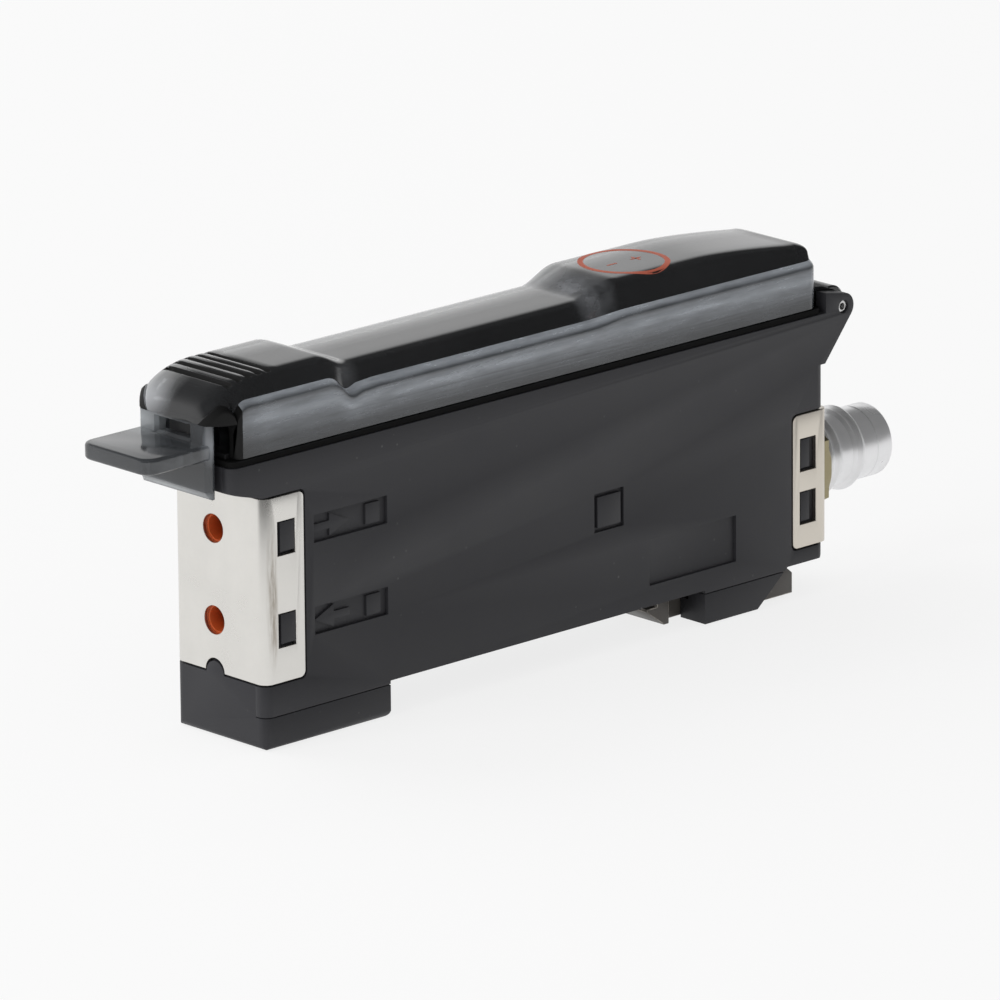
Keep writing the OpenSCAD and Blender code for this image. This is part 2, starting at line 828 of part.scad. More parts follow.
latch_lift = 0.3;
nose_edge_t = 0.3;
nose_slope = 0.9;
nose_play = 0.4;
pull_slope = [1.2, 1];
pull_gap = 0.3;
flange_lead = 0.4;
pocket_lead = 0.8;
pocket_floor = 0.3;
spring_seat_t = 1.1;
spring_post_w = 1.8;
spring_turns = 6;
blade_slot = 0.9;
blade_slot_w = 3;
blade_inset = 0.7;
latch_top = -slide_gap;
latch_bottom = latch_lift - foot_h;
latch_nose_x = rail_x1 - latch_reach;
latch_wall_x = rail_x1 + nose_play;
latch_neck_x = rib_x0 - latch_travel - inner_gap;
latch_end_x = rib_end(0) + pull_len;
spring_pocket_x = rib_x0 + pocket_lead;
spring_seat_x = spring_pocket_x + spring_len;
pocket_w = max(spring_d + spring_wire_d, spring_post_w) + 2 * slide_gap;

module latch_side() {
    polygon([
        [latch_nose_x, lip_z], [latch_nose_x, lip_z - nose_edge_t],
        [latch_wall_x + nose_slope, latch_bottom], [latch_end_x, latch_bottom],
        [latch_end_x, latch_top - pull_slope[1]], [latch_end_x - pull_slope[0], latch_top],
        [latch_wall_x, latch_top], [latch_wall_x, lip_z]
    ]);
}

module rail_latch() {
    color(panel_black) in_frame() difference() {
        union() {
            across([-latch_half_w, latch_half_w]) latch_side();
            intersection() {
                across(about(0, latch_nose_w)) latch_side();
                block([latch_nose_x - overcut, latch_neck_x], past_sides, [-foot_h, 0]);
            }
            // pull end behind the slope of the ribs
            intersection() {
                across(about(0, pull_w)) latch_side();
                across(past_sides) polygon([
                    [rib_end(-foot_h) + pull_gap, -foot_h], [latch_end_x, -foot_h],
                    [latch_end_x, 0], [rib_end(0) + pull_gap, 0]
                ]);
            }
            // side flanges that run in the ribs' grooves
            block([rib_x0 + flange_lead, latch_end_x - pull_len - overcut],
                about(0, latch_w + 2 * groove_depth - 2 * slide_gap), [slide_gap - groove_h, latch_top]);
        }
        block([spring_pocket_x, spring_seat_x + spring_seat_t + latch_travel + slide_gap],
            about(0, pocket_w), [latch_bottom + pocket_floor, 0]);
        // slot for a screwdriver blade in the pull end
        block([latch_end_x - blade_inset - blade_slot, latch_end_x - blade_inset], about(0, blade_slot_w),
            [-foot_h, 0]);
    }
}

// Coil swept along its helix, with its end turns just clear of the seats
function helix_point(t, len) = let (a = 360 * spring_turns * t)
    [t * len, spring_d / 2 * cos(a), spring_d / 2 * sin(a)];

module coil(len) {
    sides = 6;
    rings = spring_turns * 16;
    points = [for (i = [0:rings], s = [0:sides - 1])
        let (a = 360 * spring_turns * i / rings, b = 360 * s / sides, c = helix_point(i / rings, len),
            out = spring_wire_d / 2 * cos(b))
        c + [spring_wire_d / 2 * sin(b), out * cos(a), out * sin(a)]];
    walls = [for (i = [0:rings - 1], s = [0:sides - 1])
        let (n = (s + 1) % sides)
        [i * sides + s, i * sides + n, (i + 1) * sides + n, (i + 1) * sides + s]];
    caps = [[for (s = [sides - 1:-1:0]) s], [for (s = [0:sides - 1]) rings * sides + s]];
    polyhedron(points, concat(walls, caps), convexity = 10);
}

module latch_spring() {
    inset = spring_wire_d / 2 + run_gap;
    color(steel) in_frame() translate([spring_pocket_x + inset, 0, (latch_top + latch_bottom) / 2])
        coil(spring_len - 2 * inset);
}

// Top panel under the cover

catch_h = 3.2;
catch_w = 3.8;
catch_back = 1.6;
catch_edge = 0.5;
catch_top_len = 1.3;
recess_t = 0.6;
display_rim = 0.8;
switch_block_len = 8;
switch_side = 0.65;
catch_x = -cover_reach + cover_wall + inner_gap;
recess_z = deck_z - recess_t;
switch_ys = about(0, switch_pitch);
slot_len = switch_len + switch_travel + 2 * slide_gap;
slot_w = switch_w + 2 * slide_gap;
switch_block_w = switch_pitch + slot_w + 2 * switch_side;
indicator_d = adjuster_d + 2 * slide_gap + 2 * indicator_w;

// Catch post that shows in the cover's latch window
module catch_side() {
    foot_z = gasket_top + overcut;
    back_x = panel_x[0] + catch_back;
    polygon([
        [catch_x, foot_z], [back_x, foot_z], [back_x, deck_z + catch_h / 2],
        [back_x - catch_top_len, deck_z + catch_h], [catch_x + catch_edge, deck_z + catch_h],
        [catch_x, deck_z + catch_h - 2 * catch_edge]
    ]);
}

module switch_slots(z) {
    for (y = switch_ys) block(about(switch_x, slot_len), about(y, slot_w), z);
}

module top_panel() {
    under_deck = [panel_seat_z - overcut, recess_z];
    in_recess = [recess_z, deck_z + overcut];
    color(panel_black) in_frame() difference() {
        union() {
            block(panel_x, [-panel_half_w, panel_half_w], [panel_seat_z, deck_z]);
            across(about(0, catch_w)) catch_side();
        }
        rod_z(lock_x, axis_y, through_panel, lock_shaft_d + 2 * run_gap);
        block(grown(display_x, seat_gap), about(0, display_w + 2 * seat_gap), in_recess);
        block(grown(display_x, -display_rim), about(0, display_w - 2 * display_rim), through_panel);
        rod_z(lamp_x, 0, through_panel, lamp_d + 2 * seat_gap);
        rod_z(adjuster_x, 0, in_recess, indicator_d + 2 * slide_gap);
        block(about(adjuster_x, trimmer_w + 2 * seat_gap), about(0, trimmer_w + 2 * seat_gap), under_deck);
        switch_slots(through_panel);
        block(about(switch_x, switch_block_len), about(0, switch_block_w), under_deck);
    }
}

gasket_lip = 0.15;
gasket_corner_r = 0.8;

module cover_gasket() {
    color(rubber_black) in_frame() translate([0, 0, case_h]) linear_extrude(height = gasket_t)
    difference() {
        round_rect([-nose_len + gasket_lip, case_len - gasket_lip],
            [-half_w + gasket_lip, half_w - gasket_lip], gasket_corner_r);
        translate([panel_x[0] - seat_gap, -panel_half_w - seat_gap])
            square([panel_x[1] - panel_x[0] + 2 * seat_gap, 2 * (panel_half_w + seat_gap)]);
    }
}

pin_sink = 0.2;

module hinge_pin() {
    color(steel) in_frame() difference() {
        rod_y([-half_w + pin_sink, half_w - pin_sink], pin_d);
        rod_y([-half_w, half_w], pin_hollow_d);
    }
}

// Cover outline along its length: heights are measured from its lower edge

band_lead = 2.6;
nose_base_h = 3.4;
nose_rx = 6.2;
nose_round = 2.2;
nose_round_len = 2.8;
front_step_len = 4;
rear_step_len = 4.8;
tail_gap = 0.5;
tail_base_h = 5;
tail_rx = 1.8;
tail_corner_r = 1.4;
tail_fall = 1.1;
tail_fall_len = 12;
front_band_rise = 1.1;
rear_band_rise = 0.4;
dip_depth = 0.7;
dip_back = 1.4;
dip_len = 1.1;
dome_in = 1.2;
display_half_w = 4.2;
crown_gap = 0.9;
ledge_in = [1.1, 0.6];
ledge_rise = 0.45;
ledge_crown = 0.4;
roof_in = 0.3;
slope_share = 0.6;
// Rounded edge of the roof: distances out from its half width and down from its crown
roof_edge = [[0.12, 0.5], [-0.15, 0.12], [-0.7, 0]];

cover_x0 = -cover_reach;
cover_x1 = case_len - tail_gap;
nose_x1 = cover_x0 + nose_rx;
tail_x0 = cover_x1 - tail_rx;
tail_fall_x = tail_x0 - tail_fall_len;
step_down = [front_dome_x, front_dome_x + front_step_len];
step_up = [adjuster_x - rear_dome_reach - rear_step_len, adjuster_x - rear_dome_reach];

function ellipse(t) = sqrt(max(0, 1 - t * t));
function front_share(x) = 1 - step((x - step_down[0]) / front_step_len);
function rear_share(x) = step((x - step_up[0]) / rear_step_len);
function roof(x) = display_top_h + front_share(x) * (front_dome_h - display_top_h)
    + rear_share(x) * (rear_dome_h - display_top_h)
    - tail_fall * pow(max(0, min(1, (x - tail_fall_x) / tail_fall_len)), 1.5);
function top_h(x) = x < nose_x1 ? mix(nose_base_h, front_dome_h, ellipse((nose_x1 - x) / nose_rx))
    : x > tail_x0 ? mix(tail_base_h, roof(tail_x0), ellipse((x - tail_x0) / tail_rx)) : roof(x);
function corner(depth, r) = depth >= r ? 0 : r - sqrt(max(0, r * r - (r - depth) * (r - depth)));
function body_half_w(x) = cover_w / 2 - corner(cover_x1 - x, tail_corner_r)
    - nose_round * (1 - ellipse(max(0, 1 - (x - cover_x0) / nose_round_len)));
function band_top(x) = min(top_h(x) - crown_gap,
    band_h + front_share(x) * front_band_rise + rear_share(x) * rear_band_rise
    - dip_depth * exp(-pow((x - step_down[1] + dip_back) / dip_len, 2)));
function roof_half_w(x) = min(body_half_w(x) - crown_gap,
    mix(display_half_w, cover_w / 2 - dome_in, max(front_share(x), rear_share(x))));
function ledge_w(x) = mix(ledge_in[0], ledge_in[1], max(front_share(x), rear_share(x)));

cover_xs = concat(
    [for (a = [0, 12, 24, 36, 48, 60, 72, 90]) cover_x0 + nose_rx * (1 - cos(a))],
    [for (t = [0:0.125:1]) mix(step_down[0], step_down[1], t)],
    [for (t = [1, 2]) mix(step_down[1], step_up[0], t / 3)],
    [for (t = [0:0.125:1]) mix(step_up[0], step_up[1], t)],
    [mix(step_up[1], tail_fall_x, 0.5)],
    [for (t = [0:3]) mix(tail_fall_x, tail_x0, t / 3)],
    [for (a = [25, 45, 60, 75, 90]) tail_x0 + tail_rx * sin(a)]);

// Half section from the lower edge to the crown, drawn in y and z
function half_section(x, inset) = let (
        w = body_half_w(x) - inset, h = top_h(x) - inset, b = band_top(x) - inset * slope_share,
        r = min(roof_half_w(x), w - roof_in) - inset * slope_share)
    concat([[w, 0], [w, b], [w - ledge_w(x), min(b + ledge_rise, h - ledge_crown)]],
        [for (e = roof_edge) [r + e[0], h - e[1]]]);

function section(x, inset) = let (half = half_section(x, inset), n = len(half))
    concat([for (i = [0:n - 1]) [x, half[i][0], cover_z + half[i][1]]],
        [for (i = [n - 1:-1:0]) [x, -half[i][0], cover_z + half[i][1]]]);

// One closed shell: an outer and an inner skin joined along the lower edge
module cover_shell() {
    n = len(cover_xs);
    m = len(section(cover_x0, 0));
    span = cover_x1 - cover_x0;
    inner_xs = [for (x = cover_xs) cover_x0 + cover_wall + (x - cover_x0) * (span - 2 * cover_wall) / span];
    points = concat(
        [for (x = cover_xs) each section(x, 0)],
        [for (x = inner_xs) each section(x, cover_wall)]);
    o = n * m;
    // last point of a section
    e = m - 1;
    outer = [for (i = [0:n - 2], j = [0:m - 2])
        [i * m + j, (i + 1) * m + j, (i + 1) * m + j + 1, i * m + j + 1]];
    inner = [for (f = outer) [for (k = [3:-1:0]) f[k] + o]];
    ends = [
        [for (j = [0:m - 1]) j], [for (j = [m - 1:-1:0]) (n - 1) * m + j],
        [for (j = [m - 1:-1:0]) o + j], [for (j = [0:m - 1]) o + (n - 1) * m + j]];
    rim = concat(
        [for (i = [0:n - 2]) [i * m, o + i * m, o + (i + 1) * m, (i + 1) * m]],
        [for (i = [0:n - 2]) [i * m + e, (i + 1) * m + e, o + (i + 1) * m + e, o + i * m + e]],
        [[0, e, o + e, o], [o - m, 2 * o - m, 2 * o - 1, o - 1]]);
    polyhedron(points, concat(outer, inner, ends, rim), convexity = 6);
}

// The tongue hangs from the front dome, free of the side bands up to tongue_top_z

skin_gap = 0.03;
band_gap = 0.02;
slot_rise = 3.3;
tongue_root = 0.6;
tongue_edge_r = 0.5;
prism_h = 2;
prism_in = 0.7;
prism_back = 0.4;
prism_out = 1;
tab_rise = 1.6;
tab_corner_r = 1.4;
window_rise = 1.7;
latch_window_h = 1.4;
tongue_half_w = tongue_w / 2;
tongue_top_z = cover_z + slot_rise;
tongue_foot_z = cover_z - apron_h;
tongue_x = [cover_x0 + skin_gap, cover_x0 + cover_wall + run_gap];
latch_window_z = [cover_z + window_rise, cover_z + window_rise + latch_window_h];

// Side view of the tongue, with its lower edge cut like a prism
module tongue_side() {
    top = tongue_top_z + tongue_root + overcut;
    front = tongue_x[0] - prism_out;
    back = tongue_x[1] + prism_out;
    polygon([
        [front, top], [front, tongue_foot_z + prism_h], [tongue_x[0] + prism_in, tongue_foot_z - overcut],
        [back, tongue_foot_z + prism_back], [back, top]
    ]);
}

module cover_tongue() {
    intersection() {
        translate([0, 0, tongue_foot_z]) linear_extrude(height = tongue_top_z + tongue_root - tongue_foot_z)
            round_rect(tongue_x, [-tongue_half_w, tongue_half_w], tongue_edge_r);
        across(past_sides) tongue_side();
    }
    translate([0, 0, cover_z + tab_rise - tab_t]) linear_extrude(height = tab_t)
        round_rect([tab_x, cover_x0 + cover_wall / 2], [-tongue_half_w, tongue_half_w], tab_corner_r);
}

knuckle_root_h = 2.4;
knuckle_angle = 20;

module knuckle_side() {
    root_x = cover_x1 - cover_wall * slope_share;
    foot_z = cover_z + cover_gap;
    translate([pin_x, pin_z]) circle(d = knuckle_d);
    polygon([
        [root_x, foot_z], [pin_x - knuckle_d / 2 * cos(knuckle_angle), foot_z], [pin_x, pin_z],
        [pin_x, pin_z + knuckle_d / 2], [root_x, cover_z + knuckle_root_h]
    ]);
}

grip_x = 0.2;
grip_w = 0.45;
grip_len = 8.5;

module grip_grooves() {
    for (i = [0:grip_count - 1]) {
        x = grip_x + (i - (grip_count - 1) / 2) * grip_pitch;
        block(about(x, grip_w), about(0, grip_len),
            [cover_z + top_h(x) - grip_depth, cover_z + front_dome_h + overcut]);
    }
}

module protective_cover() {
    color(smoke) in_frame() difference() {
        union() {
            difference() {
                cover_shell();
                block([cover_x0 - overcut, cover_x0 + band_lead - band_gap], past_sides,
                    [cover_z - overcut, tongue_top_z]);
                grip_grooves();
            }
            cover_tongue();
            across([-panel_half_w, panel_half_w]) knuckle_side();
        }
        block([cover_x0 - overcut, tongue_x[1] + overcut], about(0, latch_window_w), latch_window_z);
        rod_y([-half_w, half_w], pin_d + 2 * run_gap);
    }
}

// Optical parts

lens_len = 1.4;
holder_margin = 3.2;
holder_top_z = fibre_axes[1] + holder_margin;

module fibre_holder() {
    color(panel_black) in_frame() difference() {
        block(holder_x, [near_y + inner_gap, far_in_y], [floor_t, holder_top_z]);
        for (z = fibre_axes) {
            rod_x(grown(holder_x, overcut), axis_y, z, fibre_bore_d);
            rod_x([holder_x[1] - lens_len - seat_gap, holder_x[1] + overcut], axis_y, z,
                lens_d + 2 * seat_gap);
        }
    }
}

// Light eye: a lens in the holder's mouth and a body on the main board
module light_eye(z) {
    rod_x([holder_x[1] - lens_len, holder_x[1] + overcut], axis_y, z, lens_d);
    block([holder_x[1] + seat_gap, holder_x[1] + eye_len], [axis_y - eye_w / 2, main_board_y],
        about(z, eye_w));
}

module light_emitter() {
    color(seal_orange) in_frame() light_eye(fibre_axes[1]);
}

module light_receiver() {
    color(panel_black) in_frame() light_eye(fibre_axes[0]);
}

// Electronics

header_len = 10;
header_w = 2.4;
header_h = 3.4;
display_margin = 1.2;

module main_board() {
    color(board_green) in_frame() block(main_board_x, [main_board_y, main_board_y + board_t],
        [floor_t, board_foot_z - ledge_t - inner_gap]);
}

module board_header() {
    color(panel_black) in_frame() block(about(middle(main_board_x), header_len),
        [main_board_y - header_w, main_board_y], [board_foot_z - header_h, board_foot_z]);
}

module control_board() {
    color(board_green) in_frame() block([main_board_x[0] + inner_gap, inner_x1 - board_t],
        [-board_half_w, board_half_w], [board_foot_z, board_top_z]);
}

module level_display() {
    color(lamp_orange) in_frame() block(grown(display_x, -display_margin),
        about(0, display_w - 2 * display_margin), [board_top_z, recess_z - seat_gap]);
}

module display_window() {
    color(smoke) in_frame() block(display_x, about(0, display_w), [recess_z, deck_z]);
}

lamp_rise = 0.3;

module operation_lamp() {
    color(lamp_orange) in_frame() rod_z(lamp_x, 0, [board_top_z, deck_z + lamp_rise], lamp_d);
}

// Controls

cap_share = 0.6;
grip_t = 1.6;
grip_in = 0.8;
cam_lobe = 1;
cam_z = [holder_top_z + inner_gap, panel_seat_z - ledge_grip];
cap_z = deck_z + lock_h * cap_share;

module fibre_lock_knob() {
    color(knob_grey) in_frame() {
        rod_z(lock_x, axis_y, [deck_z + slide_gap, cap_z], lock_d);
        block(about(lock_x, lock_d - grip_in), about(axis_y, grip_t), [cap_z - overcut, deck_z + lock_h]);
        rod_z(lock_x, axis_y, [cam_z[0], cap_z - overcut], lock_shaft_d);
        // cam lobe under the panel that presses the fibres
        hull() {
            rod_z(lock_x, axis_y, cam_z, lock_shaft_d);
            rod_z(lock_x + cam_lobe, axis_y, cam_z, lock_shaft_d);
        }
    }
}

shaft_d = 1.8;
shaft_lift = 0.5;
slot_t = 0.7;
slot_depth = 0.8;
ring_rise = 0.2;
pointer_w = 0.5;
pointer_rise = 0.5;
shaft_foot_z = board_top_z + shaft_lift;
ring_foot_z = recess_z + seat_gap;

module trimmer() {
    color(panel_black) in_frame() difference() {
        block(about(adjuster_x, trimmer_w), about(0, trimmer_w), [board_top_z, recess_z - slide_gap]);
        rod_z(adjuster_x, 0, [shaft_foot_z - slide_gap, deck_z], shaft_d + 2 * run_gap);
    }
}

module sensitivity_adjuster() {
    top = deck_z + adjuster_h;
    color(knob_grey) in_frame() difference() {
        union() {
            rod_z(adjuster_x, 0, [ring_foot_z, top], adjuster_d);
            rod_z(adjuster_x, 0, [shaft_foot_z, deck_z], shaft_d);
        }
        block(about(adjuster_x, adjuster_d + 2 * overcut), about(0, slot_t),
            [top - slot_depth, top + overcut]);
    }
}

module adjuster_indicator() {
    inner_d = adjuster_d + 2 * slide_gap;
    color(lamp_orange) in_frame() difference() {
        union() {
            rod_z(adjuster_x, 0, [ring_foot_z, deck_z + ring_rise], indicator_d);
            block(about(adjuster_x, pointer_w), [inner_d / 2 - seat_gap, indicator_d / 2 - slide_gap],
                [deck_z, deck_z + pointer_rise]);
        }
        rod_z(adjuster_x, 0, [recess_z, deck_z + pointer_rise + overcut], inner_d);
    }
}

switch_floor_z = board_top_z + board_drop;

module switch_block() {
    color(panel_black) in_frame() difference() {
        block(about(switch_x, switch_block_len - 2 * seat_gap), about(0, switch_block_w - 2 * seat_gap),
            [board_top_z, recess_z - slide_gap]);
        switch_slots([switch_floor_z, deck_z]);
    }
}

ridge_pitch = 0.6;
ridge_gap = 0.24;
ridge_depth = 0.3;

// A switch knob rests at the front end of its slot
module switch_knob(y) {
    x = switch_x - switch_travel / 2;
    top = deck_z + switch_h;
    color(knob_grey) in_frame() difference() {
        block(about(x, switch_len), about(y, switch_w), [switch_floor_z + slide_gap, top]);
        for (i = [-1:1])
            block(about(x + i * ridge_pitch, ridge_gap), about(y, 2 * switch_w),
                [top - ridge_depth, top + overcut]);
    }
}

module mode_switch() {
    switch_knob(switch_ys[0]);
}

module timer_switch() {
    switch_knob(switch_ys[1]);
}

main_case();
side_cover();
fibre_plate();
upper_fibre_seal();
lower_fibre_seal();
plug_plate();
plug_shell();
plug_insert();
contact_pins();
plug_ring_nut();
plug_o_ring();
rail_latch();
latch_spring();
top_panel();
cover_gasket();
hinge_pin();
protective_cover();
fibre_holder();
light_emitter();
light_receiver();
main_board();
board_header();
control_board();
level_display();
display_window();
operation_lamp();
fibre_lock_knob();
trimmer();
sensitivity_adjuster();
adjuster_indicator();
switch_block();
mode_switch();
timer_switch();
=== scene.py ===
from math import cos, degrees, exp, hypot, pi, radians, sin, sqrt

import bmesh
import bpy
from bpy.props import FloatProperty, FloatVectorProperty, IntProperty, PointerProperty
from mathutils import Matrix, Vector


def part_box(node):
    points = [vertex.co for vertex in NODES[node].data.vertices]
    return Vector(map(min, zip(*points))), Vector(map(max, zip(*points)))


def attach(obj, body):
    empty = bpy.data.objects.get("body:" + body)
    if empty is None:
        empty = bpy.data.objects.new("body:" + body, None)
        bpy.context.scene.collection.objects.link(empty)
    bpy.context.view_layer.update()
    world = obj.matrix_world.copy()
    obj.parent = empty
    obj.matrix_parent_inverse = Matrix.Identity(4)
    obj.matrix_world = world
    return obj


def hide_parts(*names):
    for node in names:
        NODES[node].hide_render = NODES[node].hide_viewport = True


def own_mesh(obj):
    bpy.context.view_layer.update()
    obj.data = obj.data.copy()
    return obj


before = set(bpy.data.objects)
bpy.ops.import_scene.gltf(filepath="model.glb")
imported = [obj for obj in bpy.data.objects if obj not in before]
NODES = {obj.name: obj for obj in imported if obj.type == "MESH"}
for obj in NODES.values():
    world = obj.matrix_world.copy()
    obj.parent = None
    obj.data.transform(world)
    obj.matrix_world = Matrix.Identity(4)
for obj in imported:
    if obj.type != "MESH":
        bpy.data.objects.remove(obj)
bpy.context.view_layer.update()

bl_info = {
    "name": "Fibre Optic Sensor Amplifier",
    "version": (1, 0, 0),
    "blender": (4, 5, 0),
    "location": "View3D > Sidebar > Amplifier",
    "description": "Dresses the slim rail-mounted amplifier: cover, case, steel plates and plug",
    "category": "Add Mesh",
}

MM = 0.001
# Case axes: x from the fibre plate's face, z from the rail seat above the foot, in millimetres
FOOT_H = 3.4
SEAT = Vector((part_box("fibre_plate")[0].x, 0.0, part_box("main_case")[0].z + FOOT_H * MM))


def place(x, y, z):
    """A point of the case axes, in metres of the row frame."""
    return SEAT + Vector((x, y, z)) * MM


def middle(node):
    """Middle of a node's box."""
    low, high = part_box(node)
    return (low + high) / 2


# Settings


def colour(name, text, value):
    """A colour that a user may change."""
    return FloatVectorProperty(name=name, description=text, subtype="COLOR", size=3,
                               min=0, max=1, default=value)


def length(name, text, value, top):
    """A length that a user may change, given in millimetres."""
    return FloatProperty(name=name, description=text, subtype="DISTANCE", unit="LENGTH", precision=5,
                         min=0, max=top * MM, default=value * MM)


def tally(name, text, low, high, value):
    """A number of like things that a user may change."""
    return IntProperty(name=name, description=text, min=low, max=high, default=value)


class AmplifierFinish(bpy.types.PropertyGroup):
    """Colours of the amplifier's finishes"""
    case: colour("Case", "Moulded case and side plate", (0.03, 0.03, 0.034))
    # Lighter edge colour of the case: partly rubbed wear, partly a painted highlight
    case_wear_and_highlight: colour("Case edge", "Rubbed edges of the case", (0.07, 0.07, 0.075))
    panel: colour("Panel", "Black inner panel, fibre holder and blocks", (0.012, 0.012, 0.013))
    smoke: colour("Smoke", "Smoked dome of the cover", (0.03, 0.031, 0.033))
    band: colour("Band", "Frosted side bands of the cover", (0.2, 0.215, 0.235))
    clear: colour("Tongue", "Clear latch tongue and lift tab", (0.075, 0.08, 0.087))
    window: colour("Window", "Window over the level display", (0.4, 0.42, 0.43))
    steel: colour("Steel", "Nickel plated fibre plate", (0.77, 0.755, 0.72))
    dull_steel: colour("Dull steel", "Duller plating of the plug plate", (0.68, 0.635, 0.565))
    worn_steel: colour("Worn steel", "Rubbed plating along the folds", (0.27, 0.225, 0.175))
    chrome: colour("Plug", "Bright plated plug", (0.9, 0.9, 0.91))
    silicone: colour("Seals", "Fibre seals", (0.52, 0.085, 0.018))
    latch: colour("Latch", "Rail latch", (0.095, 0.087, 0.078))
    rubber: colour("Rubber", "Gasket and o-ring", (0.006, 0.006, 0.006))
    printed: colour("Print", "Printed marks on the cover", (0.5, 0.105, 0.055))
    knob: colour("Knobs", "Setting knobs", (0.16, 0.165, 0.17))
    lamp: colour("Lamps", "Lamps and display bars", (0.75, 0.2, 0.03))
    board: colour("Boards", "Circuit boards", (0.015, 0.1, 0.045))
    brass: colour("Contacts", "Contact pins and ring nut", (0.72, 0.5, 0.2))
    old_brass: colour("Hexagon", "Dull brass of the plug's hexagon", (0.34, 0.3, 0.19))
    wire: colour("Wire", "Spring and hinge pin", (0.6, 0.6, 0.6))


class AmplifierSizes(bpy.types.PropertyGroup):
    """Sizes of the amplifier's visible detail"""
    case_edge: length("Case edge", "Rounding of the case's edges", 0.16, 0.4)
    plate_edge: length("Plate edge", "Rounding of the sheet's cut edges", 0.05, 0.15)
    knob_edge: length("Knob edge", "Rounding of knobs and inner pieces", 0.12, 0.3)
    tab_edge: length("Tab edge", "Rounding of the lift tab", 0.32, 0.6)
    thread_pitch: length("Thread pitch", "Pitch of the plug's thread", 1.0, 2)
    thread_depth: length("Thread depth", "Depth of the plug's thread", 0.34, 0.6)
    ring_radius: length("Ring radius", "Printed ring over the adjuster", 4.0, 4.5)
    ring_width: length("Ring width", "Line width of the printed ring", 0.52, 0.8)
    spring_turns: tally("Spring turns", "Turns of the latch spring", 3, 12, 6)
    display_bars: tally("Display bars", "Bars of the level display", 4, 16, 8)
    knurl_count: tally("Knurl", "Ridges round the adjuster", 12, 48, 28)
    dial_ticks: tally("Dial ticks", "Ticks round the adjuster", 5, 21, 11)


def finish_of():
    """The scene's colours."""
    return bpy.context.scene.amplifier_finish


def sizes_of():
    """The scene's sizes."""
    return bpy.context.scene.amplifier_sizes


# Shader node groups


def node_group(name, inputs, outputs, tree="ShaderNodeTree"):
    """A new group and its ends; inputs are (name, socket type, default), outputs (name, socket type)."""
    group = bpy.data.node_groups.new(name, tree)
    for title, kind, value in inputs:
        socket = group.interface.new_socket(title, in_out="INPUT", socket_type=kind)
        socket.default_value = value
    for title, kind in outputs:
        group.interface.new_socket(title, in_out="OUTPUT", socket_type=kind)
    return group, group.nodes.new("NodeGroupInput"), group.nodes.new("NodeGroupOutput")


def add(tree, kind, **values):
    """A node with its settings, and its inputs by name where a value starts with in_."""
    node = tree.nodes.new(kind)
    for key, value in values.items():
        if key.startswith("in_"):
            node.inputs[key[3:].replace("_", " ")].default_value = value
        else:
            setattr(node, key, value)
    return node


def wire(tree, *pairs):
    """Links pairs of sockets."""
    for start, end in pairs:
        tree.links.new(start, end)


def feed(tree, sockets, values):
    """Links each socket to a value that is a socket too, or sets it to a plain value."""
    for socket, value in zip(sockets, values):
        if isinstance(value, bpy.types.NodeSocket):
            tree.links.new(value, socket)
        else:
            socket.default_value = value


def math_node(tree, operation, *values, clamp=False):
    """A Math node fed by sockets or numbers; returns its output."""
    node = add(tree, "ShaderNodeMath", operation=operation, use_clamp=clamp)
    feed(tree, node.inputs, values)
    return node.outputs[0]


def vector_node(tree, operation, *values):
    """A Vector Math node fed by sockets or vectors; returns the node."""
    node = add(tree, "ShaderNodeVectorMath", operation=operation)
    feed(tree, node.inputs, values)
    return node


def noise(tree, vector, scale, detail, rough=0.5):
    """Noise of a fixed or linked scale; returns its value output."""
    node = add(tree, "ShaderNodeTexNoise", in_Detail=detail, in_Roughness=rough)
    feed(tree, (node.inputs["Vector"], node.inputs["Scale"]), (vector, scale))
    return node.outputs[0]


def spread(tree, value, low, high):
    """Stretches low..high to 0..1, clamped."""
    node = add(tree, "ShaderNodeMapRange", clamp=True, in_From_Min=low, in_From_Max=high)
    tree.links.new(value, node.inputs["Value"])
    return node.outputs["Result"]


def moulded_grain():
    """Fine spark texture of a mould with a slow cloudiness over it."""
    group, start, end = node_group(
        "moulded_grain",
        [("Grain Scale", "NodeSocketFloat", 9000.0), ("Cloud Scale", "NodeSocketFloat", 160.0)],
        [("Height", "NodeSocketFloat"), ("Cloud", "NodeSocketFloat")])
    where = add(group, "ShaderNodeTexCoord").outputs["Object"]
    grain = noise(group, where, start.outputs["Grain Scale"], 2.0)
    cloud = noise(group, where, start.outputs["Cloud Scale"], 5.0, 0.6)
    group.links.new(grain, end.inputs["Height"])
    group.links.new(spread(group, cloud, 0.3, 0.7), end.inputs["Cloud"])
    return group


def edge_rub():
    """Rubbed edges, in moulded plastic partly a painted highlight: the mesh's own edge mark broken up by
    noise.
    """
    group, start, end = node_group(
        "edge_rub",
        [("Scale", "NodeSocketFloat", 900.0), ("Amount", "NodeSocketFloat", 0.7)],
        [("Mask", "NodeSocketFloat")])
    where = add(group, "ShaderNodeTexCoord").outputs["Object"]
    mark = add(group, "ShaderNodeAttribute", attribute_name="edge").outputs["Fac"]
    patch = spread(group, noise(group, where, start.outputs["Scale"], 4.0), 0.35, 0.6)
    rubbed = math_node(group, "MULTIPLY", mark, patch)
    mask = math_node(group, "MULTIPLY", rubbed, start.outputs["Amount"], clamp=True)
    group.links.new(mask, end.inputs["Mask"])
    return group


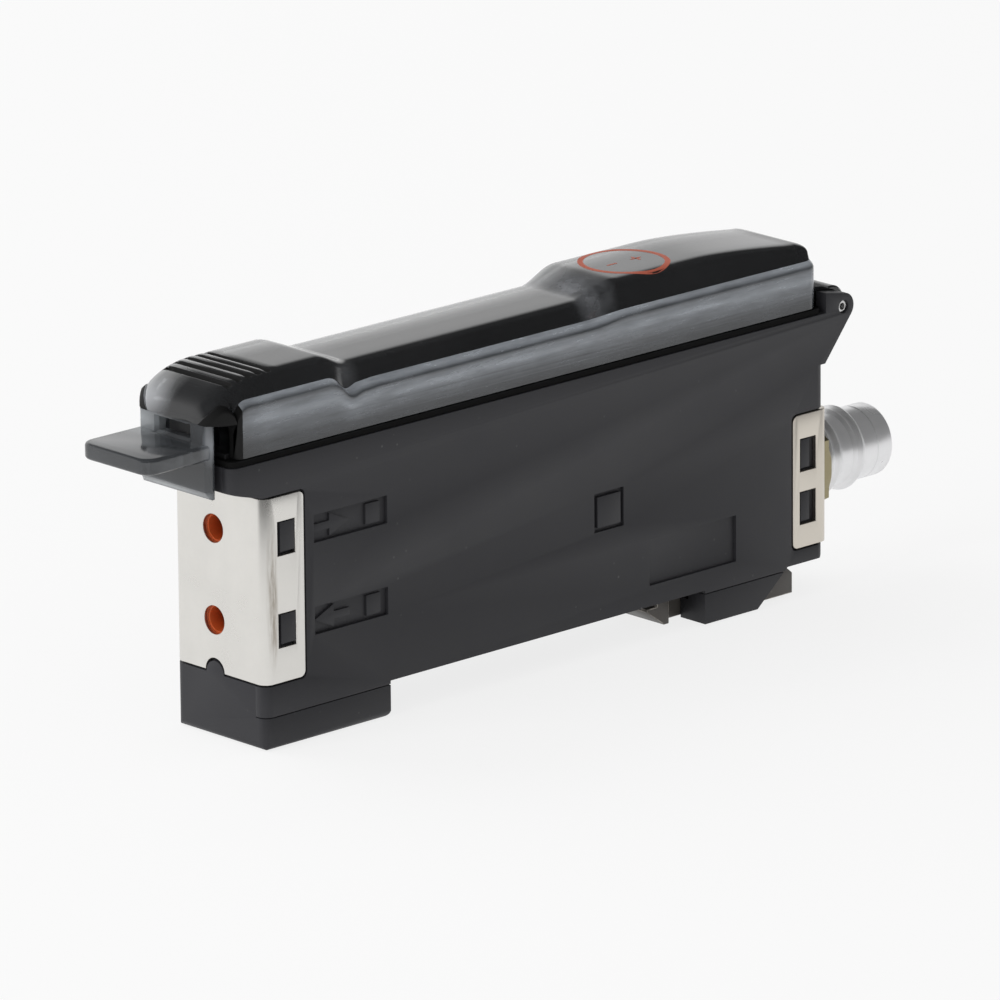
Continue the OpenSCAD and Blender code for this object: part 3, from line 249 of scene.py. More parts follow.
def worn_patch():
    """An oval round a point, broken up into streaks: wear, flow marks and painted light."""
    group, start, end = node_group(
        "worn_patch",
        [("Centre", "NodeSocketVector", (0, 0, 0)), ("Reach", "NodeSocketVector", (0.01, 0.01, 0.01)),
         ("Streak", "NodeSocketVector", (900, 900, 900))],
        [("Mask", "NodeSocketFloat")])
    where = add(group, "ShaderNodeTexCoord").outputs["Object"]
    away = vector_node(group, "SUBTRACT", where, start.outputs["Centre"])
    share = vector_node(group, "DIVIDE", away.outputs[0], start.outputs["Reach"])
    far = vector_node(group, "LENGTH", share.outputs[0])
    near = math_node(group, "SUBTRACT", 1.0, far.outputs["Value"], clamp=True)
    stretched = vector_node(group, "MULTIPLY", where, start.outputs["Streak"])
    streak = spread(group, noise(group, stretched.outputs[0], 1.0, 5.0, 0.65), 0.3, 0.62)
    group.links.new(math_node(group, "MULTIPLY", near, streak, clamp=True), end.inputs["Mask"])
    return group


def fine_dust():
    """Sparse pale specks."""
    group, start, end = node_group(
        "fine_dust",
        [("Scale", "NodeSocketFloat", 700.0), ("Amount", "NodeSocketFloat", 0.3)],
        [("Mask", "NodeSocketFloat")])
    where = add(group, "ShaderNodeTexCoord").outputs["Object"]
    cells = add(group, "ShaderNodeTexVoronoi", feature="F1", in_Randomness=1.0)
    group.links.new(where, cells.inputs["Vector"])
    group.links.new(start.outputs["Scale"], cells.inputs["Scale"])
    speck = math_node(group, "SUBTRACT", 1.0, spread(group, cells.outputs["Distance"], 0.04, 0.11))
    some = spread(group, noise(group, where, 90.0, 2.0), 0.5, 0.68)
    mask = math_node(group, "MULTIPLY", math_node(group, "MULTIPLY", speck, some), start.outputs["Amount"])
    group.links.new(mask, end.inputs["Mask"])
    return group


GROUPS = {}


def shared(tree, maker, **values):
    """Places a shared group in a material with its own values; returns the node."""
    if maker.__name__ not in GROUPS:
        GROUPS[maker.__name__] = maker()
    node = tree.nodes.new("ShaderNodeGroup")
    node.node_tree = GROUPS[maker.__name__]
    for key, value in values.items():
        node.inputs[key.replace("_", " ")].default_value = value
    return node


# Materials


def principled(name, **sockets):
    """A material with its shader's plain values set; returns material, tree and shader."""
    made = bpy.data.materials.new(name)
    made.use_nodes = True
    tree = made.node_tree
    shader = tree.nodes["Principled BSDF"]
    for key, value in sockets.items():
        shader.inputs[key.replace("_", " ")].default_value = value
    return made, tree, shader


def rgba(value, gain=1.0):
    """A colour with its alpha, made lighter or darker by a gain."""
    return (*(min(1.0, c * gain) for c in value), 1.0)


def blend_colour(tree, mask, low, high):
    """Mix of two colours, or of a colour socket and a colour, by a mask; returns its output."""
    node = add(tree, "ShaderNodeMix", data_type="RGBA")
    feed(tree, (node.inputs[0], *node.inputs[6:8]), (mask, low, high))
    return node.outputs[2]


def ranged(tree, value, low, high):
    """Takes 0..1 to low..high."""
    node = add(tree, "ShaderNodeMapRange", clamp=True, in_To_Min=low, in_To_Max=high)
    tree.links.new(value, node.inputs["Value"])
    return node.outputs["Result"]


def bumped(tree, shader, height, strength, depth):
    """Feeds a height through a Bump node to the shader's normal; depth is in millimetres."""
    node = add(tree, "ShaderNodeBump", in_Strength=strength, in_Distance=depth * MM)
    tree.links.new(height, node.inputs["Height"])
    tree.links.new(node.outputs["Normal"], shader.inputs["Normal"])


# How far each kind of finish strays from its own shade and roughness
PLASTIC_SHADES = (0.88, 1.1)
METAL_SHADES = (0.93, 1.02)
SMOKE_SHADES = (0.72, 1.3)
LENS_SHADES = (0.85, 1.1)
PLASTIC_ROUGH = (-0.05, 0.06)
METAL_ROUGH = (-0.05, 0.07)
SMOKE_ROUGH = (0.6, 1.5)
LENS_ROUGH = (0.18, 0.3)
# Strength of the bumps, and their depth in millimetres
PLASTIC_BUMP_DEPTH = 0.02
METAL_BUMP = (0.12, 0.01)
SMOKE_BUMP = (0.06, 0.02)
PLASTIC_IOR = 1.5
COVER_IOR = 1.58
DUST = (0.3, 0.29, 0.28)
PALE_DUST = (0.5, 0.5, 0.5)
BRUSH = (4200, 4200, 380)


def clouded(tree, mask, base, shades):
    """A colour that wanders between two gains of itself; returns its output."""
    return blend_colour(tree, mask, *(rgba(base, gain) for gain in shades))


def moulded(name, base, worn, rough, grain_scale=9000.0, strength=0.25, dust=0.25, shine=0.5):
    """Moulded plastic: spark texture, cloudy shade, rubbed edges that are partly a painted highlight, and a
    little dust.
    """
    made, tree, shader = principled(name, IOR=PLASTIC_IOR, Specular_IOR_Level=shine)
    grain = shared(tree, moulded_grain, Grain_Scale=grain_scale)
    edges = shared(tree, edge_rub)
    specks = shared(tree, fine_dust, Amount=dust)
    shade = clouded(tree, grain.outputs["Cloud"], base, PLASTIC_SHADES)
    shade = blend_colour(tree, edges.outputs["Mask"], shade, rgba(worn))
    shade = blend_colour(tree, specks.outputs["Mask"], shade, rgba(DUST))
    roughness = ranged(tree, grain.outputs["Cloud"], *(rough + step for step in PLASTIC_ROUGH))
    wire(tree, (shade, shader.inputs["Base Color"]), (roughness, shader.inputs["Roughness"]))
    bumped(tree, shader, grain.outputs["Height"], strength, PLASTIC_BUMP_DEPTH)
    return made


def plated(name, base, worn, rough, patches=(), metallic=1.0):
    """Plated metal: faint grain, cloudy roughness and worn patches given as (centre, reach)."""
    made, tree, shader = principled(name, Metallic=metallic)
    grain = shared(tree, moulded_grain, Grain_Scale=5000.0, Cloud_Scale=220.0)
    edges = shared(tree, edge_rub, Scale=1400.0, Amount=0.35)
    shade = clouded(tree, grain.outputs["Cloud"], base, METAL_SHADES)
    shade = blend_colour(tree, edges.outputs["Mask"], shade, rgba(worn))
    for centre, reach in patches:
        patch = shared(tree, worn_patch, Centre=centre, Reach=reach, Streak=BRUSH)
        shade = blend_colour(tree, patch.outputs["Mask"], shade, rgba(worn))
    roughness = ranged(tree, grain.outputs["Cloud"], *(rough + step for step in METAL_ROUGH))
    wire(tree, (shade, shader.inputs["Base Color"]), (roughness, shader.inputs["Roughness"]))
    bumped(tree, shader, grain.outputs["Height"], *METAL_BUMP)
    return made


def clear_plastic(name, base, rough, through, streak, cloud_scale, places=(), shades=()):
    """Clear smoked plastic; streak stretches its faint cloudiness, places are flow marks, dark band ends
    and patches of painted light as (centre, reach, gain, streak), and shades are painted light and shade as
    (share of the band's height, gain)."""
    made, tree, shader = principled(name, IOR=COVER_IOR, Transmission_Weight=through)
    where = add(tree, "ShaderNodeTexCoord").outputs["Object"]
    stretch = add(tree, "ShaderNodeMapping", in_Scale=streak)
    tree.links.new(where, stretch.inputs["Vector"])
    cloud = spread(tree, noise(tree, stretch.outputs["Vector"], cloud_scale, 5.0, 0.6), 0.3, 0.7)
    specks = shared(tree, fine_dust, Amount=0.12)
    shade = clouded(tree, cloud, base, SMOKE_SHADES)
    shade = blend_colour(tree, specks.outputs["Mask"], shade, rgba(PALE_DUST))
    # flow marks and dark band ends, and patches of painted light on the dome and the tongue
    for centre, reach, gain, broken in places:
        patch = shared(tree, worn_patch, Centre=centre, Reach=reach, Streak=broken)
        shade = blend_colour(tree, patch.outputs["Mask"], shade, rgba(base, gain))
    # painted light and shade up the bands by their height
    if shades:
        shade = painted_light_by_height(tree, shade, shades)
    roughness = ranged(tree, cloud, *(rough * gain for gain in SMOKE_ROUGH))
    wire(tree, (shade, shader.inputs["Base Color"]), (roughness, shader.inputs["Roughness"]))
    bumped(tree, shader, cloud, *SMOKE_BUMP)
    return made


def painted_light_by_height(tree, shade, shades):
    """Painted light and shade: a colour made lighter and darker by the height marked in the mesh."""
    height = add(tree, "ShaderNodeAttribute", attribute_name="rise").outputs["Fac"]
    ramp = tree.nodes.new("ShaderNodeValToRGB")
    tree.links.new(math_node(tree, "MULTIPLY", height, 1 / RISE_TOP), ramp.inputs["Fac"])
    ramp.color_ramp.interpolation = "EASE"
    stops = ramp.color_ramp.elements
    while len(stops) < len(shades):
        stops.new(0.5)
    for stop, (share, gain) in zip(stops, shades):
        stop.position = share / RISE_TOP
        stop.color = rgba((gain / GAIN_TOP,) * 3)
    node = add(tree, "ShaderNodeMix", data_type="RGBA", blend_type="MULTIPLY")
    node.inputs[0].default_value = 1.0
    bright = add(tree, "ShaderNodeVectorMath", operation="SCALE", in_Scale=GAIN_TOP)
    wire(tree, (ramp.outputs["Color"], bright.inputs[0]), (shade, node.inputs[6]),
         (bright.outputs[0], node.inputs[7]))
    return node.outputs[2]


def glowing(name, base, strength):
    """Tinted lens of a lamp that glows a little in its own colour."""
    made, tree, shader = principled(name, IOR=PLASTIC_IOR, Emission_Strength=strength)
    grain = shared(tree, moulded_grain, Grain_Scale=3000.0)
    shade = clouded(tree, grain.outputs["Cloud"], base, LENS_SHADES)
    roughness = ranged(tree, grain.outputs["Cloud"], *LENS_ROUGH)
    wire(tree, (shade, shader.inputs["Base Color"]), (shade, shader.inputs["Emission Color"]),
         (roughness, shader.inputs["Roughness"]))
    return made


FINISHES = {}


def finish(name):
    """The named finish, made on its first use."""
    if name not in FINISHES:
        FINISHES[name] = FINISH_MAKERS[name](name, finish_of())
    return FINISHES[name]


# Worn places of the fibre plate: distance behind its face, share of its height, and reach
FOLD_WEAR = ((1.05, 0.5, (0.7, 1.4, 8.0)), (1.25, 0.33, (0.45, 1.4, 4.5)))
# Painted light on the cover: lighter patches of its colour in the case axes, as (centre, reach, gain,
# streak)
# On the dome: the far strip of the display, twice, the slope behind it, the front step and the nose
DOME_PAINTED_LIGHT = (((26.2, 5.0, 29.9), (70, 5.4, 4), 33, 0), ((26.2, 4.6, 29.9), (70, 3.8, 4), 33, 0),
              ((42.3, -0.5, 30.0), (2.6, 11, 5), 13, 300), ((11.4, -4.6, 28.9), (1.7, 2.6, 2.4), 7, 0),
              ((-5.0, 3.9, 28.6), (3.4, 3.7, 2.6), 26, 0))
# Painted light on the tongue: its far side, its near edge and its prism-cut foot
TONGUE_PAINTED_LIGHT = (((-5.1, 4.6, 26.6), (3, 4.4, 2), 12, 0), ((-4.6, -4.5, 25.6), (1.5, 0.7, 2.2), 8, 0),
                ((-4.9, 1.0, 20.9), (1, 9, 0.6), 12, 0))
# Flow marks of the bands, as (x, height over the cover's edge, length, thickness, gain)
BAND_FLOWS = ((44, 1.35, 34, 0.13, 0.35), (40, 0.85, 40, 0.1, 1.9), (24, 1.9, 22, 0.1, 0.5))
FLOW_DEPTH = 1.5
FLOW_STREAK = 120
# Dark front ends of the bands: height, reach and gain
BAND_END = (1, (3.5, 3, 7), 0.2)
# Painted light and shade up the bands, as (share of the band's height, gain), and the ramp's upper ends
BAND_PAINTED_LIGHT = ((0.0, 0.35), (0.2, 0.45), (0.4, 0.95), (0.55, 1.3), (0.7, 2.1), (0.86, 1.5),
               (0.97, 0.6), (1.08, 2.6))
RISE_TOP = 1.3
GAIN_TOP = 3.0


def fold_wear():
    """Worn places along the near fold of the fibre plate."""
    low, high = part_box("fibre_plate")
    return [((low.x + back * MM, low.y, blend(low.z, high.z, share)), tuple(Vector(reach) * MM))
            for back, share, reach in FOLD_WEAR]


def patches_at(places):
    """Places of the case axes as the patches of wear, flow marks and painted light take them, in metres of
    the row frame.
    """
    return [(tuple(place(*centre)), tuple(Vector(reach) * MM), gain, (streak,) * 3)
            for centre, reach, gain, streak in places]


def band_places():
    """Flow marks and dark front ends of both bands."""
    places = []
    end_rise, end_reach, end_gain = BAND_END
    for side in (-COVER_HALF_W, COVER_HALF_W):
        places += [((x, side, COVER_Z + rise), (long, FLOW_DEPTH, thin), gain, FLOW_STREAK)
                   for x, rise, long, thin, gain in BAND_FLOWS]
        places.append(((SLOT_X, side, COVER_Z + end_rise), end_reach, end_gain, 0))
    return places


FINISH_MAKERS = {
    # The second colour of a moulded finish tints its rounded edges: partly rubbed wear, partly a painted
    # highlight
    "case_plastic": lambda name, f: moulded(name, f.case, f.case_wear_and_highlight, 0.48, shine=0.35),
    "panel_plastic": lambda name, f: moulded(name, f.panel, f.case, 0.5),
    "latch_plastic": lambda name, f: moulded(name, f.latch, f.dull_steel, 0.45),
    # The dome and the tongue carry patches of painted light; the bands carry painted light and shade by
    # height
    "smoked_dome": lambda name, f: clear_plastic(name, f.smoke, 0.07, 0.5, (1, 1, 1), 40.0,
                                                 patches_at(DOME_PAINTED_LIGHT)),
    "frosted_band": lambda name, f: clear_plastic(name, f.band, 0.22, 0.35, (0.25, 1, 1.6), 900.0,
                                                  patches_at(band_places()), BAND_PAINTED_LIGHT),
    "clear_tongue": lambda name, f: clear_plastic(name, f.clear, 0.09, 0.45, (1, 1, 1), 120.0,
                                                  patches_at(TONGUE_PAINTED_LIGHT)),
    "window_plastic": lambda name, f: clear_plastic(name, f.window, 0.08, 1.0, (1, 1, 1), 120.0),
    "steel_sheet": lambda name, f: plated(name, f.steel, f.worn_steel, 0.3, fold_wear()),
    "dull_sheet": lambda name, f: plated(name, f.dull_steel, f.worn_steel, 0.34),
    "plug_metal": lambda name, f: plated(name, f.chrome, f.worn_steel, 0.3, metallic=0.68),
    "dull_brass": lambda name, f: plated(name, f.old_brass, f.worn_steel, 0.36),
    "contact_metal": lambda name, f: plated(name, f.brass, f.worn_steel, 0.22),
    "pin_steel": lambda name, f: plated(name, f.wire, f.worn_steel, 0.25),
    "orange_silicone": lambda name, f: moulded(name, f.silicone, f.silicone, 0.5, 4000.0, 0.15),
    "black_rubber": lambda name, f: moulded(name, f.rubber, f.panel, 0.8, 5000.0, 0.3, 0.1, 0.12),
    # Black finish painted as shade in the grip grooves and at the bands' front ends
    "matt_smoke": lambda name, f: moulded(name, f.rubber, f.panel, 0.55, 5000.0, 0.1, 0.05, 0.25),
    "knob_plastic": lambda name, f: moulded(name, f.knob, f.steel, 0.42),
    "board": lambda name, f: moulded(name, f.board, f.brass, 0.35, 2500.0, 0.1),
    "lamp_lens": lambda name, f: glowing(name, f.lamp, 0.15),
    "printed_marks": lambda name, f: moulded(name, f.printed, f.printed, 0.55, 7000.0, 0.1, 0.05),
}


# Meshes


def new_piece(name, mesh, body, slot, *nodes, smooth=32):
    """Puts a mesh in the scene as a piece: it rides on a body and stands for nodes; its slot is not used.
    """
    for face in mesh.polygons:
        face.use_smooth = True
    mesh.set_sharp_from_angle(angle=radians(smooth))
    piece = bpy.data.objects.new(name, mesh)
    bpy.context.scene.collection.objects.link(piece)
    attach(piece, body)
    if nodes:
        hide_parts(*nodes)
    return piece


def to_mesh(bm, name, *finishes):
    """Ends a bmesh as a mesh with its finishes."""
    mesh = bpy.data.meshes.new(name)
    bm.to_mesh(mesh)
    bm.free()
    for title in finishes:
        mesh.materials.append(finish(title))
    return mesh


def mesh_of(points, faces):
    """A bmesh of points in the case axes and of faces by the points' numbers."""
    bm = bmesh.new()
    made = [bm.verts.new(place(*p)) for p in points]
    for face in faces:
        bm.faces.new([made[i] for i in face])
    return bm


# Distances within which points are merged, in millimetres, and degrees that count as flat
WELD = 0.002
FINE_WELD = 0.0005
FLAT_ANGLE = 0.6


def settle(bm, merge=WELD):
    """Merges doubles, drops faces without area and turns the rest outwards."""
    bmesh.ops.remove_doubles(bm, verts=bm.verts, dist=merge * MM)
    bmesh.ops.dissolve_degenerate(bm, edges=bm.edges, dist=merge * MM)
    bmesh.ops.recalc_face_normals(bm, faces=bm.faces)


def round_edges(bm, width, angle=40, segments=2):
    """Rounds the edges that turn by more than an angle, and marks the new faces as edges."""
    mark = bm.faces.layers.float.get("edge") or bm.faces.layers.float.new("edge")
    sharp = [e for e in bm.edges if e.is_manifold and e.calc_face_angle(0) > radians(angle)]
    made = bmesh.ops.bevel(bm, geom=sharp, offset=width, offset_type="OFFSET", segments=segments,
                           profile=0.5, affect="EDGES", clamp_overlap=True, loop_slide=True)
    for face in made["faces"]:
        face[mark] = 1.0


def rounded_copy(node, width):
    """A merged copy of a CAD node's mesh with its edges rounded."""
    bm = bmesh.new()
    bm.from_mesh(NODES[node].data)
    bmesh.ops.remove_doubles(bm, verts=bm.verts, dist=FINE_WELD * MM)
    bmesh.ops.dissolve_limit(bm, angle_limit=radians(FLAT_ANGLE), verts=bm.verts, edges=bm.edges,
                             use_dissolve_boundaries=False)
    round_edges(bm, width)
    return bm


def dress(node, title, width, body="case", slot=None):
    """Replaces a CAD node by its rounded copy in a finish."""
    mesh = to_mesh(rounded_copy(node, width), node + "_dressed", title)
    new_piece(node + "_dressed", mesh, body, slot or title, node)


def coat(node, title):
    """Gives a CAD node its finish."""
    materials = NODES[node].data.materials
    materials.clear()
    materials.append(finish(title))


def loft(rings, caps=True):
    """Points and faces through closed rings of equal length."""
    size = len(rings[0])
    points = [p for ring in rings for p in ring]
    faces = []
    for i in range(len(rings) - 1):
        for j in range(size):
            n = (j + 1) % size
            faces.append((i * size + j, i * size + n, (i + 1) * size + n, (i + 1) * size + j))
    if caps:
        faces.append(tuple(range(size)))
        faces.append(tuple(range((len(rings) - 1) * size, len(rings) * size)))
    return points, faces


def boolean(bm, cutter, operation):
    """Joins or cuts a bmesh by another; returns the result as a new bmesh."""
    objects = []
    for part in (bm, cutter):
        mesh = bpy.data.meshes.new("boolean_part")
        part.to_mesh(mesh)
        part.free()
        made = bpy.data.objects.new("boolean_part", mesh)
        bpy.context.scene.collection.objects.link(made)
        objects.append(made)
    modifier = objects[0].modifiers.new("boolean", "BOOLEAN")
    modifier.object = objects[1]
    modifier.operation = operation
    modifier.solver = "EXACT"
    result = bmesh.new()
    depsgraph = bpy.context.evaluated_depsgraph_get()
    result.from_object(objects[0], depsgraph)
    for made in objects:
        mesh = made.data
        bpy.data.objects.remove(made)
        bpy.data.meshes.remove(mesh)
    return result


def turned(profile, axis_y, axis_z, sides, radius_at):
    """A closed piece turned about x; radius_at(x, r, angle) gives each ring its shape."""
    rings = []
    for x, r in profile:
        ring = []
        for s in range(sides):
            a = 2 * pi * s / sides
            q = radius_at(x, r, a)
            ring.append((x, axis_y + q * sin(a), axis_z + q * cos(a)))
        rings.append(ring)
    points, faces = loft(rings + [rings[0]], caps=False)
    bm = mesh_of(points, faces)
    settle(bm, FINE_WELD)
    return bm


def joined(bm, other):
    """Adds another bmesh's faces to a bmesh."""
    mesh = bpy.data.meshes.new("joined_part")
    other.to_mesh(mesh)
    other.free()
    bm.from_mesh(mesh)
    bpy.data.meshes.remove(mesh)
    return bm


# Geometry Nodes


def geometry_tree(name, inputs):
    """A tree that makes geometry from named inputs; returns it with its ends."""
    return node_group(name, inputs, [("Geometry", "NodeSocketGeometry")], "GeometryNodeTree")


def end_tree(tree, end, geometry, title):
    """Ends a tree in Realize Instances and Set Material."""
    real = tree.nodes.new("GeometryNodeRealizeInstances")
    paint = tree.nodes.new("GeometryNodeSetMaterial")
    paint.inputs["Material"].default_value = finish(title)
    wire(tree, (geometry, real.inputs[0]), (real.outputs[0], paint.inputs["Geometry"]),
         (paint.outputs[0], end.inputs[0]))


def grown_mesh(name, tree, values):
    """Evaluates a tree with its inputs set by identifier, and returns the plain mesh."""
    holder = bpy.data.objects.new(name + "_holder", bpy.data.meshes.new(name + "_holder"))
    bpy.context.scene.collection.objects.link(holder)
    modifier = holder.modifiers.new(name, "NODES")
    modifier.node_group = tree
    for item in tree.interface.items_tree:
        if item.in_out == "INPUT" and item.name in values:
            modifier[item.identifier] = values[item.name]
    depsgraph = bpy.context.evaluated_depsgraph_get()
    mesh = bpy.data.meshes.new_from_object(holder.evaluated_get(depsgraph))
    mesh.name = name
    holder.modifiers.remove(modifier)
    empty = holder.data
    bpy.data.objects.remove(holder)
    bpy.data.meshes.remove(empty)
    if not mesh.polygons:
        raise RuntimeError(f"{name} came out empty")
    return mesh


COIL_STEPS = 28
WIRE_SIDES = 10


def coil_tree():
    """A wire coil along x: a spiral swept by a round wire."""
    tree, start, end = geometry_tree("coil", [
        ("Turns", "NodeSocketFloat", 6.0), ("Radius", "NodeSocketFloat", 0.001),
        ("Length", "NodeSocketFloat", 0.005), ("Wire Radius", "NodeSocketFloat", 0.0002),
        ("Start", "NodeSocketVector", (0, 0, 0))])
    spiral = tree.nodes.new("GeometryNodeCurveSpiral")
    spiral.inputs["Resolution"].default_value = COIL_STEPS
    ring = tree.nodes.new("GeometryNodeCurvePrimitiveCircle")
    ring.inputs["Resolution"].default_value = WIRE_SIDES
    sweep = tree.nodes.new("GeometryNodeCurveToMesh")
    sweep.inputs["Fill Caps"].default_value = True
    lay = tree.nodes.new("GeometryNodeTransform")
    lay.inputs["Rotation"].default_value = (0, radians(90), 0)
    wire(tree, (start.outputs["Turns"], spiral.inputs["Rotations"]),
         (start.outputs["Radius"], spiral.inputs["Start Radius"]),
         (start.outputs["Radius"], spiral.inputs["End Radius"]),
         (start.outputs["Length"], spiral.inputs["Height"]),
         (start.outputs["Wire Radius"], ring.inputs["Radius"]),
         (spiral.outputs[0], sweep.inputs["Curve"]), (ring.outputs[0], sweep.inputs["Profile Curve"]),
         (sweep.outputs[0], lay.inputs["Geometry"]), (start.outputs["Start"], lay.inputs["Translation"]))
    end_tree(tree, end, lay.outputs[0], "pin_steel")
    return tree


def ring_of_bars_tree(name, title):
    """Small bars standing round a circle in the plan, each turned to the middle."""
    tree, start, end = geometry_tree(name, [
        ("Count", "NodeSocketInt", 12), ("Radius", "NodeSocketFloat", 0.002),
        ("Sweep", "NodeSocketFloat", 2 * pi),
        ("Bar", "NodeSocketVector", (0.0002, 0.0002, 0.001)), ("Middle", "NodeSocketVector", (0, 0, 0))])
    line = tree.nodes.new("GeometryNodeMeshLine")
    bar = tree.nodes.new("GeometryNodeMeshCube")
    stand = tree.nodes.new("GeometryNodeInstanceOnPoints")
    index = tree.nodes.new("GeometryNodeInputIndex")
    share = add(tree, "ShaderNodeMath", operation="DIVIDE")
    angle = add(tree, "ShaderNodeMath", operation="MULTIPLY")
    across = add(tree, "ShaderNodeMath", operation="COSINE")
    along = add(tree, "ShaderNodeMath", operation="SINE")
    point = tree.nodes.new("ShaderNodeCombineXYZ")
    reach = add(tree, "ShaderNodeVectorMath", operation="SCALE")
    shift = add(tree, "ShaderNodeVectorMath", operation="ADD")
    move = tree.nodes.new("GeometryNodeSetPosition")
    turn = tree.nodes.new("ShaderNodeCombineXYZ")
    wire(tree, (start.outputs["Count"], line.inputs["Count"]), (start.outputs["Bar"], bar.inputs["Size"]),
         (index.outputs[0], share.inputs[0]), (start.outputs["Count"], share.inputs[1]),
         (share.outputs[0], angle.inputs[0]), (start.outputs["Sweep"], angle.inputs[1]),
         (angle.outputs[0], across.inputs[0]), (angle.outputs[0], along.inputs[0]),
         (across.outputs[0], point.inputs["X"]), (along.outputs[0], point.inputs["Y"]),
         (point.outputs[0], reach.inputs[0]), (start.outputs["Radius"], reach.inputs["Scale"]),
         (reach.outputs[0], shift.inputs[0]), (start.outputs["Middle"], shift.inputs[1]),
         (line.outputs[0], move.inputs["Geometry"]), (shift.outputs[0], move.inputs["Position"]),
         (move.outputs[0], stand.inputs["Points"]), (bar.outputs[0], stand.inputs["Instance"]),
         (angle.outputs[0], turn.inputs["Z"]), (turn.outputs[0], stand.inputs["Rotation"]))
    end_tree(tree, end, stand.outputs[0], title)
    return tree


def row_of_bars_tree(name, title):
    """Like bars in a row along x."""
    tree, start, end = geometry_tree(name, [
        ("Count", "NodeSocketInt", 8), ("Pitch", "NodeSocketVector", (0.002, 0, 0)),
        ("Bar", "NodeSocketVector", (0.001, 0.001, 0.001)), ("Start", "NodeSocketVector", (0, 0, 0))])
    line = tree.nodes.new("GeometryNodeMeshLine")
    bar = tree.nodes.new("GeometryNodeMeshCube")
    stand = tree.nodes.new("GeometryNodeInstanceOnPoints")
    wire(tree, (start.outputs["Count"], line.inputs["Count"]),
         (start.outputs["Start"], line.inputs["Start Location"]),
         (start.outputs["Pitch"], line.inputs["Offset"]), (start.outputs["Bar"], bar.inputs["Size"]),
         (line.outputs[0], stand.inputs["Points"]), (bar.outputs[0], stand.inputs["Instance"]))
    end_tree(tree, end, stand.outputs[0], title)
    return tree


# Smoked cover: its outline along its length, in millimetres from its lower edge

COVER_Z = 24.1
COVER_X = (-5.2, 69.6)
COVER_HALF_W = 5.8
COVER_WALL = 1.1
# Round nose: length, height of its foot, and its corners in the plan
NOSE_RX = 6.2
NOSE_X1 = COVER_X[0] + NOSE_RX
NOSE_BASE_H = 3.4
NOSE_ROUND = 2.2
NOSE_ROUND_LEN = 2.8
# Tail: height of its foot, length of its round, its corners in the plan and the fall of its top
TAIL_BASE_H = 5.0
TAIL_RX = 1.8
TAIL_X0 = COVER_X[1] - TAIL_RX
TAIL_CORNER = 1.4
TAIL_FALL = 1.1
TAIL_FALL_LEN = 12.0
TAIL_FALL_POWER = 1.5
TAIL_LEAD = 2
# Two domes, and the lower top over the display between their steps
FRONT_STEP = (8.4, 12.4)
REAR_STEP = (40.6, 45.4)
FRONT_DOME_H = 7.0
DISPLAY_H = 5.8
REAR_DOME_H = 7.08
DISPLAY_HALF_W = 4.2
DOME_HALF_W = 4.6
CROWN_GAP = 0.9
# Side bands: height, rise beside each dome, and a dip at the front step as depth, lead and width
BAND_H = 3.6
BAND_RISE = (1.1, 0.4)
DIP = (0.7, 1.4, 1.1)
# Ledge over the bands: width beside the display and the domes, rise, and room under the crown
LEDGE_IN = (1.1, 0.6)
LEDGE_RISE = 0.45
LEDGE_CROWN = 0.4
# Half section: roof inside the wall, and how the inner skin follows the sloped walls
ROOF_IN = 0.3
SLOPE_SHARE = 0.6
BAND_SPLITS = (0.0, 0.35, 0.7)
SHOULDER_REACH, SHOULDER_POINTS = 0.24, 6
LEDGE_REACH, LEDGE_POINTS = 0.16, 5
WALL_LEAN = 0.14
WALL_DROP = 0.7
CROWN_IN = 1.25
CROWN_CORNER = (0.05, -0.02)
CROWN_POINTS = 9
CROWN_SPLITS = (0.66, 0.33, 0.0)
BAND_FACES = len(BAND_SPLITS) + SHOULDER_POINTS + 2
# Slot beside the tongue: place, height, and how the bands end there
SLOT_X = -2.62
SLOT_H = 3.3
SLOT_ROUND = 0.6
SLOT_DIP = 1.5
SLOT_FADE = 0.7
SLOT_CLEAR = 0.02
# Grip grooves across the front dome
GRIP_X = 0.2
GRIP_COUNT = 5
GRIP_PITCH = 1.15
GRIP_HALF_W = 0.4
GRIP_DEPTH = 0.35
GRIP_FLANK = 0.6
GRIP_REACH = (4.0, 4.45)
GRIP_SHARES = (-1.05, -0.85, -0.65, -0.45, 0, 0.45, 0.65, 0.85, 1.05)
# Steps of the rounds in degrees, and sections along each straight run
NOSE_TURN = 4
TAIL_TURN = 5
EDGE_TURN = 15
DOME_SECTIONS = (8, 18)
STEP_SECTIONS = 24
DISPLAY_SECTIONS = 14
SLOT_SECTIONS = 6
# End of a range of degrees over a quarter turn, and a length that stands for none
QUARTER = 91
TINY = 1e-6
# Numbers of the cover's finishes; the third is a black finish, painted shade in the grooves and at the
# bands' front ends
DOME, BAND, PAINTED_SHADE = 0, 1, 2


def unit(t):
    """Clamps to 0..1."""
    return max(0.0, min(1.0, t))


def ease(t):
    """Smooth step from 0 to 1."""
    t = unit(t)
    return t * t * (3 - 2 * t)


def blend(a, b, t):
    """The place between two numbers at a share."""
    return a + (b - a) * t


def ellipse(t):
    """Height of a quarter round at a share of its reach."""
    return sqrt(max(0.0, 1 - t * t))


def corner_inset(depth, radius):
    """How far a rounded corner lies inside at a depth from its end."""
    short = radius - min(radius, max(0.0, depth))
    return radius - sqrt(max(0.0, radius ** 2 - short ** 2))


def front_share(x):
    """1 on the front dome, 0 on the display."""
    return 1 - ease((x - FRONT_STEP[0]) / (FRONT_STEP[1] - FRONT_STEP[0]))


def rear_share(x):
    """1 on the rear dome, 0 on the display."""
    return ease((x - REAR_STEP[0]) / (REAR_STEP[1] - REAR_STEP[0]))


